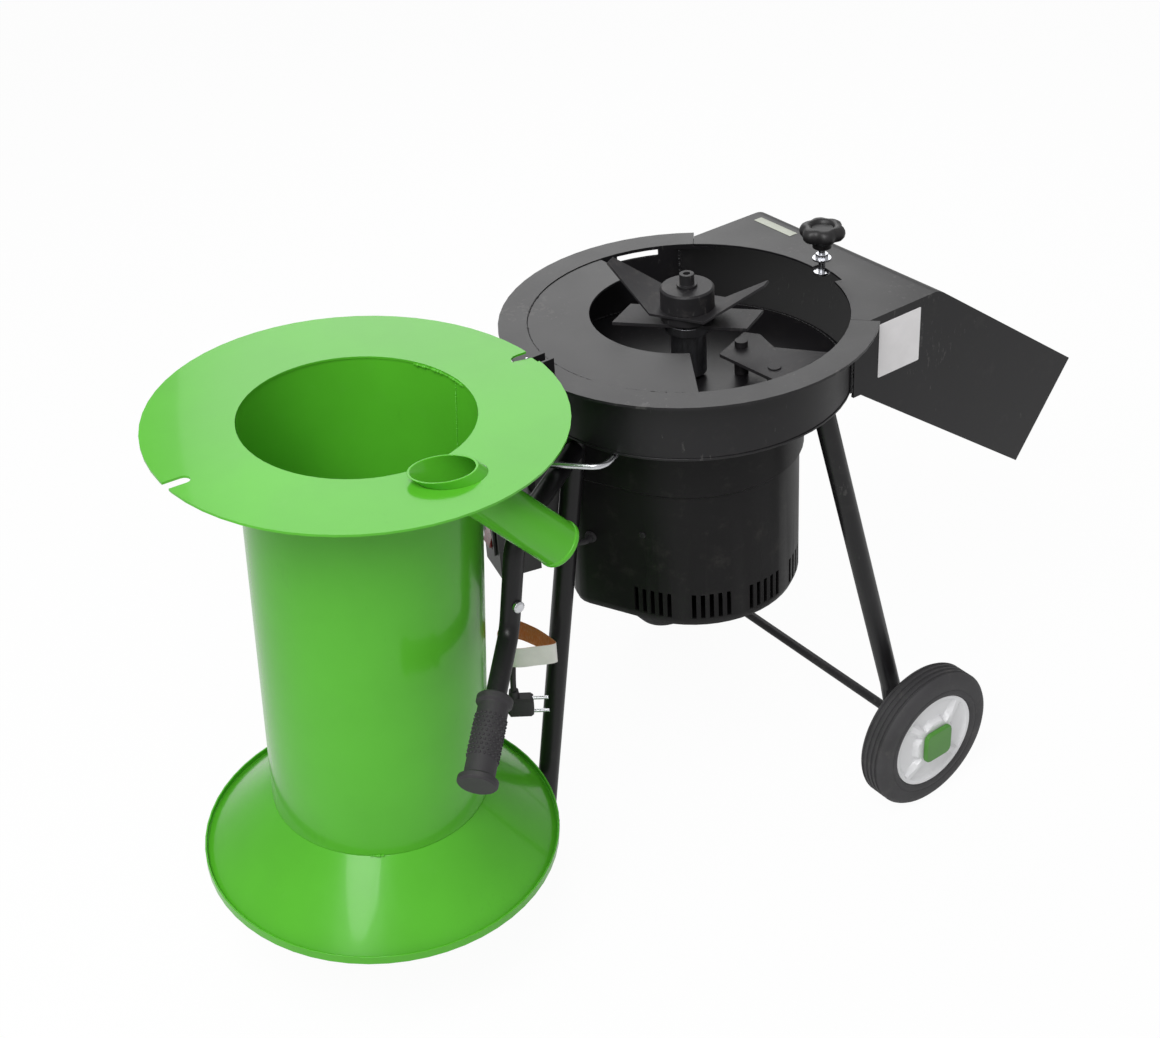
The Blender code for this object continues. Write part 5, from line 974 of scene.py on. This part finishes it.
class SHREDDER_OT_wheels(Operator):
    """Makes the grooved tyres, the pressed discs and the square caps."""

    bl_idname = "shredder.wheels"
    bl_label = "Wheels"

    def execute(self, context):
        sizes = context.scene.shredder_sizes
        for side, sign in (("left", 1), ("right", -1)):
            out = Vector((0.0, sign, 0.0))
            centre = RIM_CENTRE + WHEEL_CENTRE + out * HALF_TRACK
            section = self.tyre(sizes.tread_grooves)
            rings = turned_rings(section, WHEEL_SEGMENTS, centre, AHEAD, UPWARD, out)
            mesh = skin_mesh(f"ribbed_tyre_{side}", rings, loop=True)
            piece_from(mesh.name, mesh, "tyre_rubber", f"wheel_{side}", [f"tyre_{side}"])
            self.disc(side, centre, out)
            dress(f"hub_cap_{side}", "green_plastic", CAP_ROUNDING)
        return {"FINISHED"}

    def tyre(self, grooves):
        """The tyre's section, as (radius, height) round it."""
        half = HALF_WHEEL
        floor = WHEEL_RADIUS - GROOVE_DEPTH
        flank = [
            (TYRE_INNER_RADIUS, half - 0.0030), (TYRE_INNER_RADIUS + 0.0010, half - 0.0012),
            (TYRE_INNER_RADIUS + 0.0030, half - 0.0002), (0.0700, half), (0.0712, half - 0.0007),
            (0.0724, half), (0.0815, half - 0.0002), (0.0865, half - 0.0016), (0.0898, half - 0.0040),
            (0.0914, half - SHOULDER),
        ]
        tread = []
        pitch = 2 * (half - SHOULDER) / grooves
        for number in range(grooves):
            middle = half - SHOULDER - pitch * (number + 0.5)
            tread += [
                (WHEEL_RADIUS, middle + HALF_GROOVE_TOP), (floor, middle + HALF_GROOVE_FLOOR),
                (floor, middle - HALF_GROOVE_FLOOR), (WHEEL_RADIUS, middle - HALF_GROOVE_TOP)]
        return flank + tread + [(radius, -height) for radius, height in reversed(flank)]

    def disc(self, side, centre, out):
        """A pressed disc: a raised square with four spokes, and pockets between them."""
        half, outer = HALF_WHEEL, DISC_RADIUS
        width = outer - DISC_INNER_RADIUS
        radii = [DISC_INNER_RADIUS + width * step / DISC_RINGS for step in range(DISC_RINGS + 1)]
        rings = []
        for radius in [DISC_BORE_RADIUS] + radii:
            ring = []
            for step in range(WHEEL_SEGMENTS):
                angle = math.tau * step / WHEEL_SEGMENTS
                x, y = radius * math.cos(angle), radius * math.sin(angle)
                square = max(abs(x), abs(y), (abs(x) + abs(y)) * SQUARE_CORNER)
                spoke = min(abs(x - y), abs(x + y)) / math.sqrt(2)
                raised = max(1.0 - smooth(square, *SQUARE_EDGE), 1.0 - smooth(spoke, *SPOKE_EDGE))
                raised *= 1.0 - RIM_SHARE * smooth(radius, *SPOKE_FALL)
                raised = max(raised, RIM_SHARE * smooth(radius, *RIM_EDGE))
                proud = half - DISC_SUNK + DISC_RELIEF * raised
                ring.append(centre + AHEAD * x + UPWARD * y + out * proud)
            rings.append(ring)
        back = [(outer, half - 0.0060), (outer, 0.0035 - half), (outer - 0.004, 0.0035 - half),
                (outer - 0.006, -0.003), (0.022, -0.003), (0.020, -half), (DISC_BORE_RADIUS, -half)]
        rings += turned_rings(back, WHEEL_SEGMENTS, centre, AHEAD, UPWARD, out)
        mesh = skin_mesh(f"pressed_disc_{side}", rings, loop=True)
        piece_from(mesh.name, mesh, "white_plastic", f"wheel_{side}", [f"wheel_disc_{side}"])


class SHREDDER_OT_grips(Operator):
    """Finishes the rubber grips and raises their points."""

    bl_idname = "shredder.grips"
    bl_label = "Grips"

    def execute(self, context):
        sizes = context.scene.shredder_sizes
        for side, sign in (("left", 1), ("right", -1)):
            dress(f"grip_{side}", "black_rubber", sizes.fine_rounding)
            mirror = Vector((1.0, sign, 1.0))
            out = (Vector(GRIP_DIRECTION) * mirror).normalized()
            end = base(*(Vector(GRIP_ELBOW) * mirror)) + out * GRIP_REACH
            across = out.orthogonal().normalized()
            up = out.cross(across)
            line = []
            for step in range(POINTS_TURNS * POINTS_STEPS + 1):
                angle = math.tau * step / POINTS_STEPS
                along = POINTS_START + sizes.stud_spacing * step / POINTS_STEPS
                around = across * math.cos(angle) + up * math.sin(angle)
                line.append(end - out * along + around * GRIP_RADIUS)
            beads(f"grip_points_{side}", [line], "black_rubber", "frame", sizes.stud_radius,
                  sizes.stud_spacing, spread=0.06, seed=11)
        return {"FINISHED"}


class SHREDDER_OT_switch(Operator):
    """Finishes the switch box, its rocker and both glands."""

    bl_idname = "shredder.switch"
    bl_label = "Switch Box"

    def execute(self, context):
        sizes = context.scene.shredder_sizes
        dress("switch_box", "black_plastic", sizes.rounding)
        dress("switch_frame", "black_plastic", sizes.fine_rounding)
        dress("switch_rocker", "red_plastic", sizes.fine_rounding)
        dress_all("black_plastic", sizes.fine_rounding, "cord_gland", "cable_gland")
        return {"FINISHED"}


class SHREDDER_OT_fittings(Operator):
    """Finishes the bolts, the pin, the rest and the rubber foot."""

    bl_idname = "shredder.fittings"
    bl_label = "Small Fittings"

    def execute(self, context):
        sizes = context.scene.shredder_sizes
        dress_all("bright_zinc", sizes.fine_rounding, "handle_bolt_left", "handle_bolt_right",
                  "hinge_pin", "hopper_rest")
        dress("front_foot", "black_rubber", sizes.rounding)
        return {"FINISHED"}


class SHREDDER_OT_labels(Operator):
    """Puts the two blank labels on the chute."""

    bl_idname = "shredder.labels"
    bl_label = "Blank Labels"

    def execute(self, context):
        sheet = context.scene.shredder_sizes.label_sheet
        plan = []
        for x, z, start in SIDE_LABEL_CORNERS:
            for step in range(4):
                angle = math.radians(start + 30 * step)
                plan.append((x + LABEL_CORNER * math.cos(angle), z + LABEL_CORNER * math.sin(angle)))
        rings = [[base(x, -CHUTE_SIDE - depth, z) for x, z in plan]
                 for depth in (LABEL_LIFT, LABEL_LIFT + sheet)]
        mesh = skin_mesh("side_label", rings)
        piece_from("side_label", mesh, "white_plastic", "frame", material="white_label")
        rings = []
        for x, z, slope in self.over_fold(*FOLD_LABEL_ALONG):
            lift = Vector((math.sin(slope), 0.0, math.cos(slope)))
            near, far = (base(x, y, z) + lift * LABEL_LIFT for y in FOLD_LABEL_ACROSS)
            rings.append([near, far, far + lift * sheet, near + lift * sheet])
        mesh = skin_mesh("fold_label", rings)
        piece_from("fold_label", mesh, "white_plastic", "frame", material="pale_label")
        return {"FINISHED"}

    def over_fold(self, start, end):
        """Places (x, z, slope) on the chute's top, along its fold."""
        run = CHUTE_FOLD_RADIUS * math.tan(CHUTE_SLOPE / 2)
        places = [(start, 0.0, 0.0)]
        for step in range(FOLD_STEPS + 1):
            slope = CHUTE_SLOPE * step / FOLD_STEPS
            places.append((
                CHUTE_FOLD - run + CHUTE_FOLD_RADIUS * math.sin(slope),
                -CHUTE_FOLD_RADIUS * (1 - math.cos(slope)), slope))
        x, z, slope = places[-1]
        places.append((end, z - (end - x) * math.tan(slope), slope))
        return places


OPERATORS = (
    SHREDDER_OT_stage, SHREDDER_OT_cords, SHREDDER_OT_frame, SHREDDER_OT_rotor, SHREDDER_OT_motor,
    SHREDDER_OT_hopper, SHREDDER_OT_clamp, SHREDDER_OT_wheels, SHREDDER_OT_grips, SHREDDER_OT_switch,
    SHREDDER_OT_fittings, SHREDDER_OT_labels,
)


class SHREDDER_PT_panel(Panel):
    """The shredder's settings and steps."""

    bl_label = "Garden Shredder"
    bl_idname = "SHREDDER_PT_panel"
    bl_space_type = "VIEW_3D"
    bl_region_type = "UI"
    bl_category = "Shredder"

    def draw(self, context):
        layout = self.layout
        scene = context.scene
        for settings in (scene.shredder_colours, scene.shredder_sizes, scene.shredder_studio):
            box = layout.box()
            for name in settings.bl_rna.properties.keys():
                if name not in ("rna_type", "name"):
                    box.prop(settings, name)
        for operator in OPERATORS:
            layout.operator(operator.bl_idname)


GROUPS = {
    "shredder_colours": ShredderColours,
    "shredder_sizes": ShredderSizes,
    "shredder_studio": ShredderStudio,
}


def register():
    for group in GROUPS.values():
        bpy.utils.register_class(group)
    for name, group in GROUPS.items():
        setattr(bpy.types.Scene, name, PointerProperty(type=group))
    for operator in OPERATORS:
        bpy.utils.register_class(operator)
    bpy.utils.register_class(SHREDDER_PT_panel)


def unregister():
    bpy.utils.unregister_class(SHREDDER_PT_panel)
    for operator in reversed(OPERATORS):
        bpy.utils.unregister_class(operator)
    for name, group in GROUPS.items():
        delattr(bpy.types.Scene, name)
        bpy.utils.unregister_class(group)


def main():
    register()
    for operator in OPERATORS:
        group, name = operator.bl_idname.split(".")
        getattr(getattr(bpy.ops, group), name)()
    bpy.context.view_layer.update()


if __name__ == "__main__":
    main()
